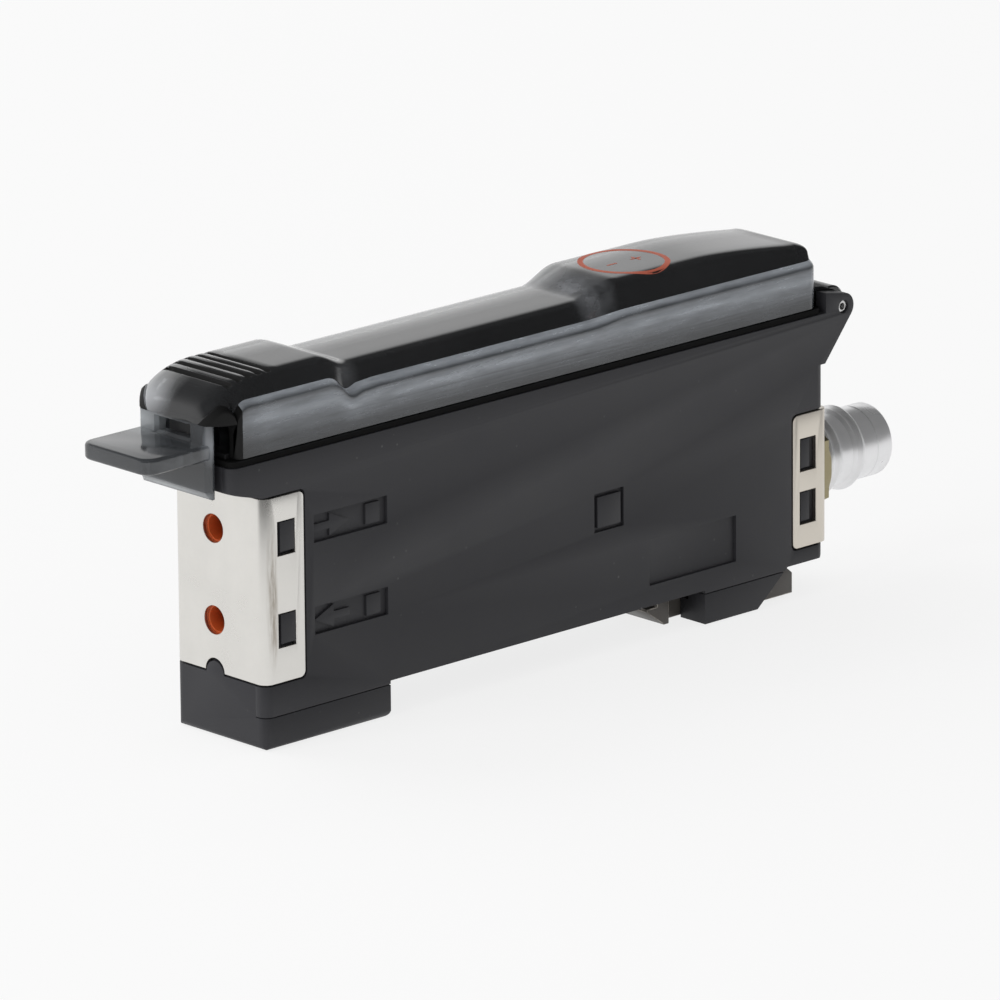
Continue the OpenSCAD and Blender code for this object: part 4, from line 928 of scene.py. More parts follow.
def roof_h(x):
    """Height of the top between the nose and the tail's round."""
    fall = TAIL_FALL * unit((x - TAIL_X0 + TAIL_FALL_LEN) / TAIL_FALL_LEN) ** TAIL_FALL_POWER
    return (DISPLAY_H + front_share(x) * (FRONT_DOME_H - DISPLAY_H)
            + rear_share(x) * (REAR_DOME_H - DISPLAY_H) - fall)


def top_h(x):
    """Height of the top anywhere."""
    if x < NOSE_X1:
        return blend(NOSE_BASE_H, FRONT_DOME_H, ellipse((NOSE_X1 - x) / NOSE_RX))
    if x > TAIL_X0:
        return blend(TAIL_BASE_H, roof_h(TAIL_X0), ellipse((x - TAIL_X0) / TAIL_RX))
    return roof_h(x)


def body_half_w(x):
    """Half width of the bands, drawn in at the nose and the tail."""
    tail = corner_inset(COVER_X[1] - x, TAIL_CORNER)
    nose = NOSE_ROUND * (1 - ellipse(max(0, 1 - (x - COVER_X[0]) / NOSE_ROUND_LEN)))
    return COVER_HALF_W - tail - nose


def band_top(x):
    """Height of the bands."""
    depth, lead, width = DIP
    dip = depth * exp(-((x - FRONT_STEP[1] + lead) / width) ** 2)
    dip += SLOT_DIP * (1 - ellipse(max(0.0, 1 - abs(x - SLOT_X) / SLOT_DIP)))
    rise = front_share(x) * BAND_RISE[0] + rear_share(x) * BAND_RISE[1]
    return min(top_h(x) - CROWN_GAP, BAND_H + rise - dip)


def roof_half_w(x):
    """Half width of the roof."""
    return min(body_half_w(x) - CROWN_GAP,
               blend(DISPLAY_HALF_W, DOME_HALF_W, max(front_share(x), rear_share(x))))


def ledge_w(x):
    """Width of the ledge over the bands."""
    return blend(*LEDGE_IN, max(front_share(x), rear_share(x)))


def grip_places():
    """Middles of the grip grooves."""
    first = GRIP_X - GRIP_PITCH * (GRIP_COUNT - 1) / 2
    return [first + i * GRIP_PITCH for i in range(GRIP_COUNT)]


def grip_drop(x, y):
    """Depth of the grip grooves at a place on the front dome."""
    off = min(abs(x - groove) for groove in grip_places())
    side = ease((GRIP_REACH[1] - abs(y)) / (GRIP_REACH[1] - GRIP_REACH[0]))
    return GRIP_DEPTH * side * ease((GRIP_HALF_W - off) / (GRIP_FLANK * GRIP_HALF_W))


RUN_SHARE = 0.45


def bend(a, corner, b, reach, count):
    """Points of a rounded corner between two straight runs."""
    run_in = hypot(corner[0] - a[0], corner[1] - a[1])
    run_out = hypot(b[0] - corner[0], b[1] - corner[1])
    reach = min(reach, RUN_SHARE * run_in, RUN_SHARE * run_out)
    start = [corner[k] + (a[k] - corner[k]) * reach / max(run_in, TINY) for k in (0, 1)]
    end = [corner[k] + (b[k] - corner[k]) * reach / max(run_out, TINY) for k in (0, 1)]
    return [arc(start, corner, end, i / (count - 1)) for i in range(count)]


def arc(a, corner, b, t):
    """A point of the curve that leaves a towards the corner and ends in b."""
    return tuple((1 - t) ** 2 * a[k] + 2 * t * (1 - t) * corner[k] + t * t * b[k] for k in (0, 1))


def half_profile(x, inset):
    """Half section from the lower edge to the crown, as (y, height)."""
    w = body_half_w(x) - inset
    h = top_h(x) - inset
    b = band_top(x) - inset * SLOPE_SHARE
    r = min(roof_half_w(x), w - ROOF_IN) - inset * SLOPE_SHARE
    shoulder = (w, b)
    ledge = (w - ledge_w(x), min(b + LEDGE_RISE, h - LEDGE_CROWN))
    wall = (r + WALL_LEAN, h - WALL_DROP)
    corner = (r + CROWN_CORNER[0], h + CROWN_CORNER[1])
    crown = (r - CROWN_IN, h)
    points = [(w, share * b) for share in BAND_SPLITS]
    points += bend(points[0], shoulder, ledge, SHOULDER_REACH, SHOULDER_POINTS)
    points += bend(shoulder, ledge, wall, LEDGE_REACH, LEDGE_POINTS)
    points += [arc(wall, corner, crown, i / (CROWN_POINTS - 1)) for i in range(CROWN_POINTS)]
    points += [(crown[0] * share, h) for share in CROWN_SPLITS]
    return points


def slot_inset(x, z):
    """Rounding of the bands' front ends beside the tongue."""
    return ease((SLOT_H - z) / SLOT_FADE) * corner_inset(x - SLOT_X, SLOT_ROUND)


def cover_section(x, inset, lift):
    """Whole section of the cover at x, with its lower part lifted to a height."""
    half = half_profile(x, inset)
    if not inset and not lift:
        half = [(y - slot_inset(x, z), z) for y, z in half]
    ring = [(y, max(z, lift)) for y, z in half] + [(-y, max(z, lift)) for y, z in reversed(half[:-1])]
    return [(x, y, COVER_Z + z - (0 if inset else grip_drop(x, y))) for y, z in ring]


def roof_z(x, y):
    """Height of the cover's outer skin over a place in the plan."""
    half = half_profile(x, 0)
    for (y1, z1), (y0, z0) in zip(half, half[1:]):
        if y0 <= abs(y) <= y1:
            return COVER_Z + blend(z0, z1, (abs(y) - y0) / max(y1 - y0, TINY))
    return COVER_Z + top_h(x)


def steps(a, b, count):
    """Evenly spaced places from a to b."""
    return [blend(a, b, i / count) for i in range(count + 1)]


def cover_stations():
    """Places along the cover, closer together where it bends, as (x, lift)."""
    xs = [COVER_X[0] + NOSE_RX * (1 - cos(radians(a))) for a in range(0, QUARTER, NOSE_TURN)]
    xs += [TAIL_X0 + TAIL_RX * sin(radians(a)) for a in range(0, QUARTER, TAIL_TURN)]
    xs += [SLOT_X + SLOT_ROUND * (1 - cos(radians(a))) for a in range(EDGE_TURN, QUARTER, EDGE_TURN)]
    xs += [groove + share * GRIP_HALF_W for groove in grip_places() for share in GRIP_SHARES]
    for start, end, count in ((NOSE_X1, FRONT_STEP[0], DOME_SECTIONS[0]), (*FRONT_STEP, STEP_SECTIONS),
                              (FRONT_STEP[1], REAR_STEP[0], DISPLAY_SECTIONS), (*REAR_STEP, STEP_SECTIONS),
                              (REAR_STEP[1], TAIL_X0, DOME_SECTIONS[1]),
                              (SLOT_X, SLOT_X + SLOT_DIP, SLOT_SECTIONS)):
        xs += steps(start, end, count)
    xs = sorted({round(x, 4) for x in xs if abs(x - SLOT_X) > SLOT_CLEAR})
    front = [(x, SLOT_H) for x in xs if x < SLOT_X]
    return front + [(SLOT_X, SLOT_H), (SLOT_X, 0.0)] + [(x, 0.0) for x in xs if x > SLOT_X]


def inner_x(x):
    """Place of the inner skin's section for a place of the outer skin."""
    front = COVER_X[0] + COVER_WALL
    back = COVER_X[1] - COVER_WALL
    lead = TAIL_X0 - TAIL_LEAD
    if x < SLOT_X:
        return front + (x - COVER_X[0]) * (SLOT_X - front) / (SLOT_X - COVER_X[0])
    if x > lead:
        return lead + (x - lead) * (back - lead) / (COVER_X[1] - lead)
    return x


def cover_shell():
    """The dome and its side bands as one closed shell, with the numbers of its finishes: the grip
    grooves and the bands' front ends take a black finish as painted shade. Each point keeps its share of
    the band's height."""
    stations = cover_stations()
    outer = [cover_section(x, 0, lift) for x, lift in stations]
    inner = [cover_section(inner_x(x), COVER_WALL, lift) for x, lift in stations]
    size = len(outer[0])
    count = len(stations)
    points = [p for ring in outer + inner for p in ring]
    shift = size * count
    last = size - 1
    finishes = []
    faces = []
    for i in range(count - 1):
        # the bands' front ends take the black finish of painted shade
        band = BAND if stations[i + 1][0] > SLOT_X + SLOT_ROUND else PAINTED_SHADE
        for j in range(last):
            quad = (i * size + j, (i + 1) * size + j, (i + 1) * size + j + 1, i * size + j + 1)
            faces += [quad, tuple(k + shift for k in reversed(quad))]
            finishes += [band if min(j, last - 1 - j) < BAND_FACES else DOME] * 2
        for j in (0, last):
            a, b = i * size + j, (i + 1) * size + j
            faces.append((a, b, b + shift, a + shift))
            finishes.append(band)
    end = (count - 1) * size
    for base in (0, shift):
        faces += [tuple(base + j for j in range(size)), tuple(base + end + j for j in range(size))]
        finishes += [DOME, BAND]
    faces += [(0, last, shift + last, shift), (end, end + last, shift + end + last, shift + end)]
    finishes += [DOME, BAND]
    bm = mesh_of(points, faces)
    bm.verts.index_update()
    rise = bm.verts.layers.float.new("rise")
    for vert, (x, y, z) in zip(bm.verts, points):
        vert[rise] = (z - COVER_Z) / band_top(x)
    for face, number in zip(bm.faces, finishes):
        # faces in the grip grooves take the black finish of painted shade
        grooved = max(grip_drop(*points[v.index][:2]) for v in face.verts) > GRIP_DEPTH / 2
        face.material_index = PAINTED_SHADE if grooved and number == DOME else number
    settle(bm)
    return bm


TONGUE_X = (-5.17, -4.05)
TONGUE_HALF_W = 4.55
TONGUE_Z = (20.6, 27.38)
TONGUE_EDGE = 0.5
PRISM = ((-5.17, 21.31), (-4.62, 20.6))
TAB_X = (-12.2, -4.65)
TAB_Z = (24.2, 25.7)
TAB_CORNER = 1.4
TAB_TURN = 9
TAB_EDGE_ANGLE, TAB_EDGE_SEGMENTS = 60, 4
WINDOW_HALF_W = 2.1
WINDOW_Z = (25.8, 27.2)
# Flare of the latch window towards the front, as (x, widening)
WINDOW_FLARE = ((TONGUE_X[0] - 0.3, 0.55), (TONGUE_X[0] + 0.35, 0.0), (TONGUE_X[1] + 1, 0.0))


def lofted(rings):
    """A settled bmesh through rings, closed at both ends."""
    bm = mesh_of(*loft(rings))
    settle(bm)
    return bm


def tongue():
    """Latch tongue with rounded sides, a prism-cut foot, the lift tab and the latch window."""
    outline = [(TONGUE_X[0], TONGUE_Z[1]), *PRISM, (TONGUE_X[1], TONGUE_Z[0]), (TONGUE_X[1], TONGUE_Z[1])]
    edge = [TONGUE_EDGE * (1 - cos(radians(a))) for a in range(0, QUARTER, EDGE_TURN)]
    rings = []
    half = [TONGUE_HALF_W - depth for depth in reversed(edge)]
    for y in [-y for y in reversed(half)] + half:
        inset = corner_inset(TONGUE_HALF_W - abs(y), TONGUE_EDGE)
        rings.append([(min(max(x, TONGUE_X[0] + inset), TONGUE_X[1] - inset), y, z) for x, z in outline])
    slab = lofted(rings)
    corner = [(TAB_X[0] + TAB_CORNER * (1 - sin(radians(a))),
               TONGUE_HALF_W - TAB_CORNER * (1 - cos(radians(a)))) for a in range(0, QUARTER, TAB_TURN)]
    side = [(TAB_X[1], TONGUE_HALF_W)] + corner
    plan = side + [(x, -y) for x, y in reversed(side)]
    tab = lofted([[(x, y, z) for x, y in plan] for z in TAB_Z])
    round_edges(tab, sizes_of().tab_edge, TAB_EDGE_ANGLE, TAB_EDGE_SEGMENTS)
    whole = boolean(slab, tab, "UNION")
    window = []
    for x, out in WINDOW_FLARE:
        low, high = WINDOW_Z[0] - out, WINDOW_Z[1]
        window.append([(x, way * (WINDOW_HALF_W + out), z)
                       for way, z in ((1, low), (1, high), (-1, high), (-1, low))])
    return boolean(whole, lofted(window), "DIFFERENCE")


PIN = (72.5, 23.6)
KNUCKLE_R = 1.7
KNUCKLE_BORE_R = 0.65
KNUCKLE_HALF_W = 4.4
KNUCKLE_EDGE = 0.15
KNUCKLE_SIDES = 48
# Side view of the arm that joins the knuckle to the tail, as (x, z)
ARM = ((68.94, 24.2), (PIN[0] - 1.6, 24.2), (PIN[0] - 0.9, PIN[1] + 1.0), (PIN[0] - 0.4, PIN[1] + 1.64),
       (68.94, 26.5))


def knuckle():
    """Hinge knuckle: a bored barrel and the arm that joins it to the tail."""
    inner = KNUCKLE_HALF_W - KNUCKLE_EDGE
    profile = [(-KNUCKLE_HALF_W, KNUCKLE_R - KNUCKLE_EDGE), (-inner, KNUCKLE_R), (inner, KNUCKLE_R),
               (KNUCKLE_HALF_W, KNUCKLE_R - KNUCKLE_EDGE), (KNUCKLE_HALF_W, KNUCKLE_BORE_R),
               (-KNUCKLE_HALF_W, KNUCKLE_BORE_R)]
    turns = [2 * pi * s / KNUCKLE_SIDES for s in range(KNUCKLE_SIDES)]
    rings = [[(PIN[0] + r * cos(a), y, PIN[1] + r * sin(a)) for a in turns] for y, r in profile]
    barrel = mesh_of(*loft(rings + [rings[0]], caps=False))
    settle(barrel)
    arm = lofted([[(x, y, z) for x, z in ARM] for y in (-KNUCKLE_HALF_W, KNUCKLE_HALF_W)])
    return joined(barrel, arm)


# Operators


class AMPLIFIER_OT_case(bpy.types.Operator):
    """Dress the moulded case and its side plate"""
    bl_idname = "amplifier.case"
    bl_label = "Case"

    def execute(self, context):
        for node in ("main_case", "side_cover"):
            dress(node, "case_plastic", sizes_of().case_edge)
        return {"FINISHED"}


class AMPLIFIER_OT_plates(bpy.types.Operator):
    """Dress the folded steel plates and the silicone seals"""
    bl_idname = "amplifier.plates"
    bl_label = "Steel plates and seals"

    def execute(self, context):
        for node, title in (("fibre_plate", "steel_sheet"), ("plug_plate", "dull_sheet")):
            dress(node, title, sizes_of().plate_edge, slot="steel_sheet")
        for node in ("upper_fibre_seal", "lower_fibre_seal"):
            dress(node, "orange_silicone", sizes_of().plate_edge)
        return {"FINISHED"}


class AMPLIFIER_OT_cover(bpy.types.Operator):
    """Loft the smoked cover with its bands, tongue, lift tab and knuckle"""
    bl_idname = "amplifier.cover"
    bl_label = "Smoked cover"

    def execute(self, context):
        for name, maker, smooth, titles in (
                ("cover_dome", cover_shell, 38, ("smoked_dome", "frosted_band", "matt_smoke")),
                ("cover_tongue", tongue, 35, ("clear_tongue",)),
                ("cover_knuckle", knuckle, 35, ("smoked_dome",))):
            mesh = to_mesh(maker(), name, *titles)
            new_piece(name, mesh, "cover", "smoked_cover", "protective_cover", smooth=smooth)
        return {"FINISHED"}


PRINT_CENTRE = (49.8, -0.3)
PRINT_STEPS = 96
# Lower and upper skin of the print over the roof
PRINT_SKINS = (-0.01, 0.012)
SIGN_OFF = 1.5
SIGN_LONG, SIGN_THIN = 0.6, 0.1


def printed(bm, rows, caps):
    """Adds a thin closed strip that lies on the roof; rows are lists of (x, y)."""
    rings = []
    for row in rows:
        low, high = [[(x, y, roof_z(x, y) + skin) for x, y in row] for skin in PRINT_SKINS]
        rings.append(low + high[::-1])
    strip = mesh_of(*loft(rings, caps))
    settle(strip, FINE_WELD)
    joined(bm, strip)


class AMPLIFIER_OT_print(bpy.types.Operator):
    """Print the ring and its signs on the rear dome, over the adjuster"""
    bl_idname = "amplifier.print"
    bl_label = "Printed marks"

    def execute(self, context):
        x, y = PRINT_CENTRE
        radius = sizes_of().ring_radius / MM
        half = sizes_of().ring_width / MM / 2
        turns = [2 * pi * i / PRINT_STEPS for i in range(PRINT_STEPS)]
        ring = [[(x + r * cos(a), y + r * sin(a)) for r in (radius - half, radius, radius + half)]
                for a in turns]
        bm = bmesh.new()
        printed(bm, ring + ring[:1], caps=False)
        flat, upright = (SIGN_LONG, SIGN_THIN), (SIGN_THIN, SIGN_LONG)
        for off, bars in ((-SIGN_OFF, (flat,)), (SIGN_OFF, (flat, upright))):
            for reach_x, reach_y in bars:
                printed(bm, [[(x + off + dx, y + dy) for dy in (-reach_y, 0, reach_y)]
                             for dx in (-reach_x, 0, reach_x)], caps=True)
        new_piece("cover_print", to_mesh(bm, "cover_print", "printed_marks"), "cover", "smoked_cover")
        return {"FINISHED"}


# Plug: lengths along its axis, and radii
HEX_T = 1.6
SLEEVE_LEN = 3.8
GROOVE_BACK = (2.9, 1.4)
BORE_BACK = 1.0
BORE_R = 2.9
NECK_R = 3.8
THREAD_R = 4.0
GROOVE_R = 3.48
SLEEVE_R = 3.475
LINE_R = 3.4
# Fine line round the sleeve, as distances from the thread's end
LINE_X = (1.6, 1.68, 1.82, 1.9)
THREAD_SECTIONS, GROOVE_SECTIONS, LAST_SECTIONS = 42, 4, 10
THREAD_FADE = (0.3, 0.25)
THREAD_MIN_R = 3.9
FLANK_GAIN, FLANK_SHIFT = 1.35, -0.1
PLUG_SIDES = 96
# Chamfer of the plug's ends, a hair's step, and what the runs of its section keep free at each end
PLUG_CHAMFER = 0.15
HAIR = 0.02
THREAD_FREE = (0.05, 0.3)
GROOVE_FREE = 0.1
LAST_FREE = (0.25, 0.2)
# Lips of the groove and the sleeve, and the round of the sleeve's tip as distances from its end
GROOVE_LIP = 0.07
SLEEVE_LIP = (0.05, 0.125)
TIP_BACK = (0.25, 0.08)
# Hexagon: its chamfers at the plate and at the thread as (length, rise), and its hold on the neck
HEX_SIDES = 120
HEX_FLAT_R = 4.8
HEX_CORNER_R = 5.54
HEX_MIN_R = 4.2
HEX_CHAMFERS = ((0.3, 0.1), (0.35, 0.05))
HEX_HOLD = 0.1


def plug_profile(low, high, hex_end, thread_end):
    """Closed half section of the plug from its inner end to its sleeve and back along the bore."""
    start, stop = (thread_end - back for back in GROOVE_BACK)
    thread = steps(hex_end + THREAD_FREE[0], start - THREAD_FREE[1], THREAD_SECTIONS)
    groove = steps(start + GROOVE_FREE, stop - GROOVE_FREE, GROOVE_SECTIONS)
    last = steps(stop + LAST_FREE[0], thread_end - LAST_FREE[1], LAST_SECTIONS)
    profile = [(low, BORE_R), (low, NECK_R - PLUG_CHAMFER), (low + PLUG_CHAMFER, NECK_R),
               (hex_end, NECK_R), (hex_end, NECK_R + HAIR), (hex_end + HAIR, THREAD_R)]
    profile += [(x, THREAD_R) for x in thread] + [(start, GROOVE_R + HAIR)]
    profile += [(x, GROOVE_R) for x in groove] + [(stop, GROOVE_R + GROOVE_LIP)]
    profile += [(x, THREAD_R) for x in last]
    profile += [(thread_end, SLEEVE_R + SLEEVE_LIP[1]), (thread_end + SLEEVE_LIP[0], SLEEVE_R)]
    profile += [(thread_end + x, r) for x, r in zip(LINE_X, (SLEEVE_R, LINE_R, LINE_R, SLEEVE_R))]
    profile += [(high - TIP_BACK[0], SLEEVE_R), (high - TIP_BACK[1], LINE_R), (high, LINE_R - PLUG_CHAMFER),
                (high, BORE_R + PLUG_CHAMFER), (high - PLUG_CHAMFER, BORE_R),
                (thread_end - BORE_BACK, BORE_R)]
    return profile


def hex_profile(face, end):
    """Closed half section of the hexagon from the plug plate to the thread."""
    (near, near_rise), (far, far_rise) = HEX_CHAMFERS
    bore = NECK_R - HEX_HOLD
    return [(face + HAIR, bore), (face + HAIR, HEX_FLAT_R + near_rise), (face + near, HEX_CORNER_R),
            (end - far, HEX_CORNER_R), (end, HEX_FLAT_R + far_rise), (end, bore)]


class AMPLIFIER_OT_plug(bpy.types.Operator):
    """Turn the threaded plug with its hexagon and sleeve, and dress what is in it"""
    bl_idname = "amplifier.plug"
    bl_label = "Plug"

    def execute(self, context):
        sizes = sizes_of()
        axis = (middle("plug_shell") - SEAT) / MM
        low, high = ((p - SEAT).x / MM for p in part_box("plug_shell"))
        face = (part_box("plug_plate")[1] - SEAT).x / MM
        hex_end = face + HEX_T
        thread_end = high - SLEEVE_LEN
        pitch = sizes.thread_pitch / MM
        depth = sizes.thread_depth / MM

        def thread(x, r, a):
            """Radius of the thread's flank at a place and angle, fading at its ends."""
            if not hex_end < x < thread_end or r < THREAD_MIN_R:
                return r
            flank = abs(2 * ((x / pitch - a / (2 * pi)) % 1.0) - 1)
            fade = min(1.0, (x - hex_end) / THREAD_FADE[0], (thread_end - x) / THREAD_FADE[1])
            return r - depth * unit(FLANK_GAIN * flank + FLANK_SHIFT) * max(0.0, fade)

        def hexagon(x, r, a):
            """Radius of the hexagon with chamfered corners."""
            return r if r < HEX_MIN_R else min(HEX_FLAT_R / cos(radians(degrees(a) % 60 - 30)), r)

        body = turned(plug_profile(low, high, hex_end, thread_end), axis.y, axis.z, PLUG_SIDES, thread)
        nut = turned(hex_profile(face, hex_end), axis.y, axis.z, HEX_SIDES, hexagon)
        for name, bm, title in (("plug_turned", body, "plug_metal"), ("plug_hexagon", nut, "dull_brass")):
            new_piece(name, to_mesh(bm, name, title), "case", "plug_metal", "plug_shell", smooth=30)
        dress("contact_pins", "contact_metal", sizes.plate_edge * 2)
        dress("plug_insert", "panel_plastic", sizes.plate_edge)
        coat("plug_ring_nut", "contact_metal")
        coat("plug_o_ring", "black_rubber")
        return {"FINISHED"}


SPRING_WIRE_R = 0.15


class AMPLIFIER_OT_latch(bpy.types.Operator):
    """Dress the rail latch and wind its spring"""
    bl_idname = "amplifier.latch"
    bl_label = "Rail latch"

    def execute(self, context):
        dress("rail_latch", "latch_plastic", sizes_of().knob_edge, "latch", "panel_plastic")
        low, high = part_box("latch_spring")
        wire_r = SPRING_WIRE_R * MM
        centre = (low + high) / 2
        mesh = grown_mesh("latch_coil", coil_tree(), {
            "Turns": float(sizes_of().spring_turns), "Radius": (high.z - low.z) / 2 - wire_r,
            "Length": high.x - low.x - 2 * wire_r, "Wire Radius": wire_r,
            "Start": (low.x + wire_r, centre.y, centre.z)})
        coil = new_piece("latch_coil", mesh, "case", "pin_steel", "latch_spring", smooth=60)
        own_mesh(coil)
        return {"FINISHED"}


# Pieces on the panel: node, finish, name of the edge's size, and body
CONTROLS = (("top_panel", "panel_plastic", "knob_edge", "case"),
            ("cover_gasket", "black_rubber", "knob_edge", "case"),
            ("hinge_pin", "pin_steel", "plate_edge", "case"),
            ("fibre_lock_knob", "knob_plastic", "knob_edge", "lock"),
            ("sensitivity_adjuster", "knob_plastic", "knob_edge", "adjuster"),
            ("adjuster_indicator", "lamp_lens", "plate_edge", "indicator"),
            ("mode_switch", "knob_plastic", "plate_edge", "mode"),
            ("timer_switch", "knob_plastic", "plate_edge", "timer"),
            ("operation_lamp", "lamp_lens", "knob_edge", "case"),
            ("display_window", "window_plastic", "plate_edge", "case"))
# Height of the panel's deck over its foot
DECK_RISE = 2.0
# Knurl of the adjuster: thickness and width of a ridge, and what it leaves free below and above
KNURL_BAR = (0.16, 0.2)
KNURL_FREE = (0.35, 0.15)
TICK_OFF = 0.7
TICK_BAR = (0.6, 0.14, 0.05)
# Bars of the display: free ends, share of the pitch, width and thickness
DISPLAY_FREE = 0.8
BAR_SHARE = 0.7
BAR_W = 2.2
BAR_T = 0.06


class AMPLIFIER_OT_controls(bpy.types.Operator):
    """Dress the panel under the cover with its knobs, switches, lamp and display"""
    bl_idname = "amplifier.controls"
    bl_label = "Controls"

    def execute(self, context):
        sizes = sizes_of()
        for node, title, edge, body in CONTROLS:
            dress(node, title, getattr(sizes, edge), body)
        self.dial(sizes)
        self.display(sizes)
        return {"FINISHED"}

    def dial(self, sizes):
        """Ridges on the adjuster and ticks round it."""
        low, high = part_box("sensitivity_adjuster")
        centre = (low + high) / 2
        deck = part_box("top_panel")[0].z + DECK_RISE * MM
        tall = high.z - deck - sum(KNURL_FREE) * MM
        knurl = grown_mesh("adjuster_knurl", ring_of_bars_tree("knurl", "knob_plastic"), {
            "Count": sizes.knurl_count, "Radius": (high.x - low.x) / 2, "Sweep": 2 * pi,
            "Bar": (*(side * MM for side in KNURL_BAR), tall),
            "Middle": (centre.x, centre.y, high.z - KNURL_FREE[1] * MM - tall / 2)})
        new_piece("adjuster_knurl", knurl, "adjuster", "knob_plastic")
        ring_low, ring_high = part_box("adjuster_indicator")
        ticks = grown_mesh("dial_ticks", ring_of_bars_tree("ticks", "knob_plastic"), {
            "Count": sizes.dial_ticks, "Radius": (ring_high.x - ring_low.x) / 2 + TICK_OFF * MM,
            "Sweep": 2 * pi, "Bar": tuple(side * MM for side in TICK_BAR),
            "Middle": (centre.x, centre.y, deck)})
        new_piece("dial_ticks", ticks, "case", "knob_plastic")

    def display(self, sizes):
        """Row of bars on the level display."""
        low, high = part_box("level_display")
        pitch = (high.x - low.x - 2 * DISPLAY_FREE * MM) / sizes.display_bars
        bars = grown_mesh("display_bars", row_of_bars_tree("bars", "lamp_lens"), {
            "Count": sizes.display_bars, "Pitch": (pitch, 0, 0),
            "Bar": (BAR_SHARE * pitch, BAR_W * MM, BAR_T * MM),
            "Start": (low.x + DISPLAY_FREE * MM + pitch / 2, 0, high.z)})
        new_piece("display_bars", bars, "case", "lamp_lens")


class AMPLIFIER_OT_inside(bpy.types.Operator):
    """Finish the pieces that stay inside the case"""
    bl_idname = "amplifier.inside"
    bl_label = "Inner pieces"

    def execute(self, context):
        for node, title in (("fibre_holder", "panel_plastic"), ("light_emitter", "lamp_lens"),
                            ("light_receiver", "panel_plastic"), ("main_board", "board"),
                            ("board_header", "panel_plastic"), ("control_board", "board"),
                            ("level_display", "panel_plastic"), ("trimmer", "panel_plastic"),
                            ("switch_block", "panel_plastic")):
            coat(node, title)
        return {"FINISHED"}


FLOOR_REACH = 4.0
FLOOR_DROP = 0.02
FLOOR_GLOW = 0.8
FLOOR_GREY = (0.92, 0.92, 0.92, 1)
WHITE = (1, 1, 1, 1)
# Light of the world: which way reflections fall off, and each fall as (from, to, bright, dim)
LEAN_AXIS = (0.0, -0.6, 0.8)
GLOSS_FALL = (-0.16, 0.18, 1.0, 0.08)
SKY_FALL = (0.0, 0.8, 0.85, 0.4)
# Soft boxes, as (name, place, power, size)
LAMPS = (("soft_left", (-0.9, 0.1, 0.45), 4.0, 0.6), ("soft_back", (-0.2, 0.8, 0.75), 4.0, 0.8))
LAMP_AIM = Vector((0, 0, 0.02))
# Camera, in metres, as fitted to the photograph
CAMERA_AT = Vector((-0.63605, -0.6764, 0.28785))
CAMERA_TO = Vector((-0.00605, -0.006, 0.01744))
CAMERA_ROLL = radians(-0.46)
CAMERA_LENS = 383.5
CAMERA_SENSOR = 36
CAMERA_CLIP = (0.01, 20)


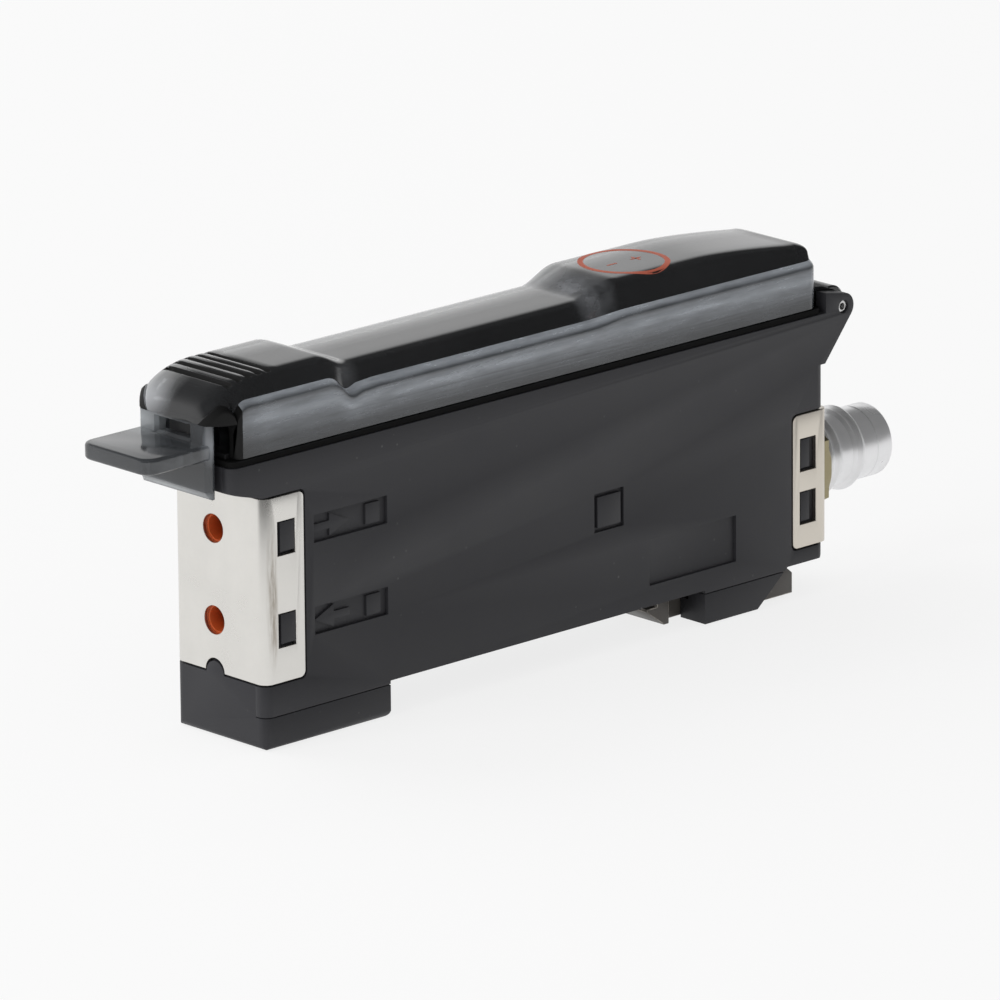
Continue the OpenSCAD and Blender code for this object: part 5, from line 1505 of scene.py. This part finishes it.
class AMPLIFIER_OT_stage(bpy.types.Operator):
    """Set the pale floor, the soft light and the camera"""
    bl_idname = "amplifier.stage"
    bl_label = "Stage"

    def execute(self, context):
        scene = context.scene
        scene.view_settings.view_transform = "Standard"
        self.floor(scene)
        self.world(scene)
        self.lamps(scene)
        self.camera(scene)
        return {"FINISHED"}

    def floor(self, scene):
        """A wide pale floor that stays white to the eye and in reflections, and keeps the shadow."""
        bm = bmesh.new()
        bmesh.ops.create_grid(bm, x_segments=1, y_segments=1, size=FLOOR_REACH)
        mesh = bpy.data.meshes.new("floor")
        bm.to_mesh(mesh)
        bm.free()
        floor = bpy.data.objects.new("floor", mesh)
        floor.location.z = -FLOOR_DROP * MM
        scene.collection.objects.link(floor)
        made = bpy.data.materials.new("pale_floor")
        made.use_nodes = True
        tree = made.node_tree
        tree.nodes.clear()
        path = tree.nodes.new("ShaderNodeLightPath")
        seen = math_node(tree, "ADD", path.outputs["Is Camera Ray"], path.outputs["Is Glossy Ray"])
        seen = math_node(tree, "ADD", seen, path.outputs["Is Transmission Ray"], clamp=True)
        share = math_node(tree, "MULTIPLY", seen, FLOOR_GLOW)
        glow = add(tree, "ShaderNodeEmission", in_Color=WHITE, in_Strength=1.0)
        matt = add(tree, "ShaderNodeBsdfDiffuse", in_Color=FLOOR_GREY)
        mix = tree.nodes.new("ShaderNodeMixShader")
        out = tree.nodes.new("ShaderNodeOutputMaterial")
        wire(tree, (share, mix.inputs[0]), (matt.outputs[0], mix.inputs[1]),
             (glow.outputs[0], mix.inputs[2]), (mix.outputs[0], out.inputs["Surface"]))
        floor.data.materials.append(made)

    def world(self, scene):
        """White to the eye; reflections see a white back and a dim ceiling on the camera's side."""
        world = bpy.data.worlds.new("studio")
        scene.world = world
        world.use_nodes = True
        tree = world.node_tree
        tree.nodes.clear()
        path = tree.nodes.new("ShaderNodeLightPath")
        where = tree.nodes.new("ShaderNodeTexCoord")
        lean = vector_node(tree, "DOT_PRODUCT", where.outputs["Generated"], LEAN_AXIS)
        split = tree.nodes.new("ShaderNodeSeparateXYZ")
        tree.links.new(where.outputs["Generated"], split.inputs[0])

        def fall(value, numbers):
            """Brightness that falls smoothly; numbers are (from, to, bright, dim)."""
            node = add(tree, "ShaderNodeMapRange", clamp=True, interpolation_type="SMOOTHSTEP")
            feed(tree, node.inputs, (value, *numbers))
            return node.outputs["Result"]

        seen = math_node(tree, "ADD", path.outputs["Is Glossy Ray"], path.outputs["Is Transmission Ray"],
                         clamp=True)
        level = tree.nodes.new("ShaderNodeMix")
        wire(tree, (seen, level.inputs["Factor"]),
             (fall(lean.outputs["Value"], GLOSS_FALL), level.inputs["B"]),
             (fall(split.outputs["Z"], SKY_FALL), level.inputs["A"]))
        final = tree.nodes.new("ShaderNodeMix")
        wire(tree, (path.outputs["Is Camera Ray"], final.inputs["Factor"]),
             (level.outputs[0], final.inputs["A"]))
        final.inputs["B"].default_value = 1.0
        back = add(tree, "ShaderNodeBackground", in_Color=WHITE)
        out = tree.nodes.new("ShaderNodeOutputWorld")
        wire(tree, (final.outputs[0], back.inputs["Strength"]), (back.outputs[0], out.inputs["Surface"]))

    def lamps(self, scene):
        """Two soft boxes, left of the camera and behind the piece, that don't show in reflections."""
        for name, spot, power, size in LAMPS:
            lamp = bpy.data.lights.new(name, "AREA")
            lamp.energy = power
            lamp.size = size
            made = bpy.data.objects.new(name, lamp)
            made.location = spot
            made.rotation_euler = (LAMP_AIM - Vector(spot)).to_track_quat("-Z", "Y").to_euler()
            made.visible_glossy = False
            scene.collection.objects.link(made)

    def camera(self, scene):
        """The photograph's camera, with its slight roll."""
        data = bpy.data.cameras.new("camera")
        data.lens = CAMERA_LENS
        data.sensor_width = CAMERA_SENSOR
        data.clip_start, data.clip_end = CAMERA_CLIP
        made = bpy.data.objects.new("camera", data)
        scene.collection.objects.link(made)
        ahead = (CAMERA_TO - CAMERA_AT).normalized()
        right = ahead.cross(Vector((0, 0, 1))).normalized()
        up = right.cross(ahead)
        side = right * cos(CAMERA_ROLL) + up * sin(CAMERA_ROLL)
        top = up * cos(CAMERA_ROLL) - right * sin(CAMERA_ROLL)
        turn = Matrix((side, top, -ahead)).transposed()
        made.matrix_world = Matrix.Translation(CAMERA_AT) @ turn.to_4x4()
        scene.camera = made


class AMPLIFIER_PT_panel(bpy.types.Panel):
    """Lists the amplifier's pieces in the sidebar"""
    bl_label = "Sensor amplifier"
    bl_space_type = "VIEW_3D"
    bl_region_type = "UI"
    bl_category = "Amplifier"

    def draw(self, context):
        column = self.layout.column(align=True)
        for operator in OPERATORS:
            column.operator(operator.bl_idname)
        for settings in (context.scene.amplifier_sizes, context.scene.amplifier_finish):
            box = self.layout.box()
            for key in settings.__annotations__:
                box.prop(settings, key)


OPERATORS = (AMPLIFIER_OT_stage, AMPLIFIER_OT_case, AMPLIFIER_OT_plates, AMPLIFIER_OT_cover,
             AMPLIFIER_OT_print, AMPLIFIER_OT_plug, AMPLIFIER_OT_latch, AMPLIFIER_OT_controls,
             AMPLIFIER_OT_inside)
CLASSES = (AmplifierFinish, AmplifierSizes, *OPERATORS, AMPLIFIER_PT_panel)


def register():
    for cls in CLASSES:
        bpy.utils.register_class(cls)
    bpy.types.Scene.amplifier_finish = PointerProperty(type=AmplifierFinish)
    bpy.types.Scene.amplifier_sizes = PointerProperty(type=AmplifierSizes)


def unregister():
    del bpy.types.Scene.amplifier_sizes
    del bpy.types.Scene.amplifier_finish
    for cls in reversed(CLASSES):
        bpy.utils.unregister_class(cls)


def main():
    """Builds every piece in order."""
    register()
    for operator in OPERATORS:
        group, name = operator.bl_idname.split(".")
        getattr(getattr(bpy.ops, group), name)()


if __name__ == "__main__":
    main()
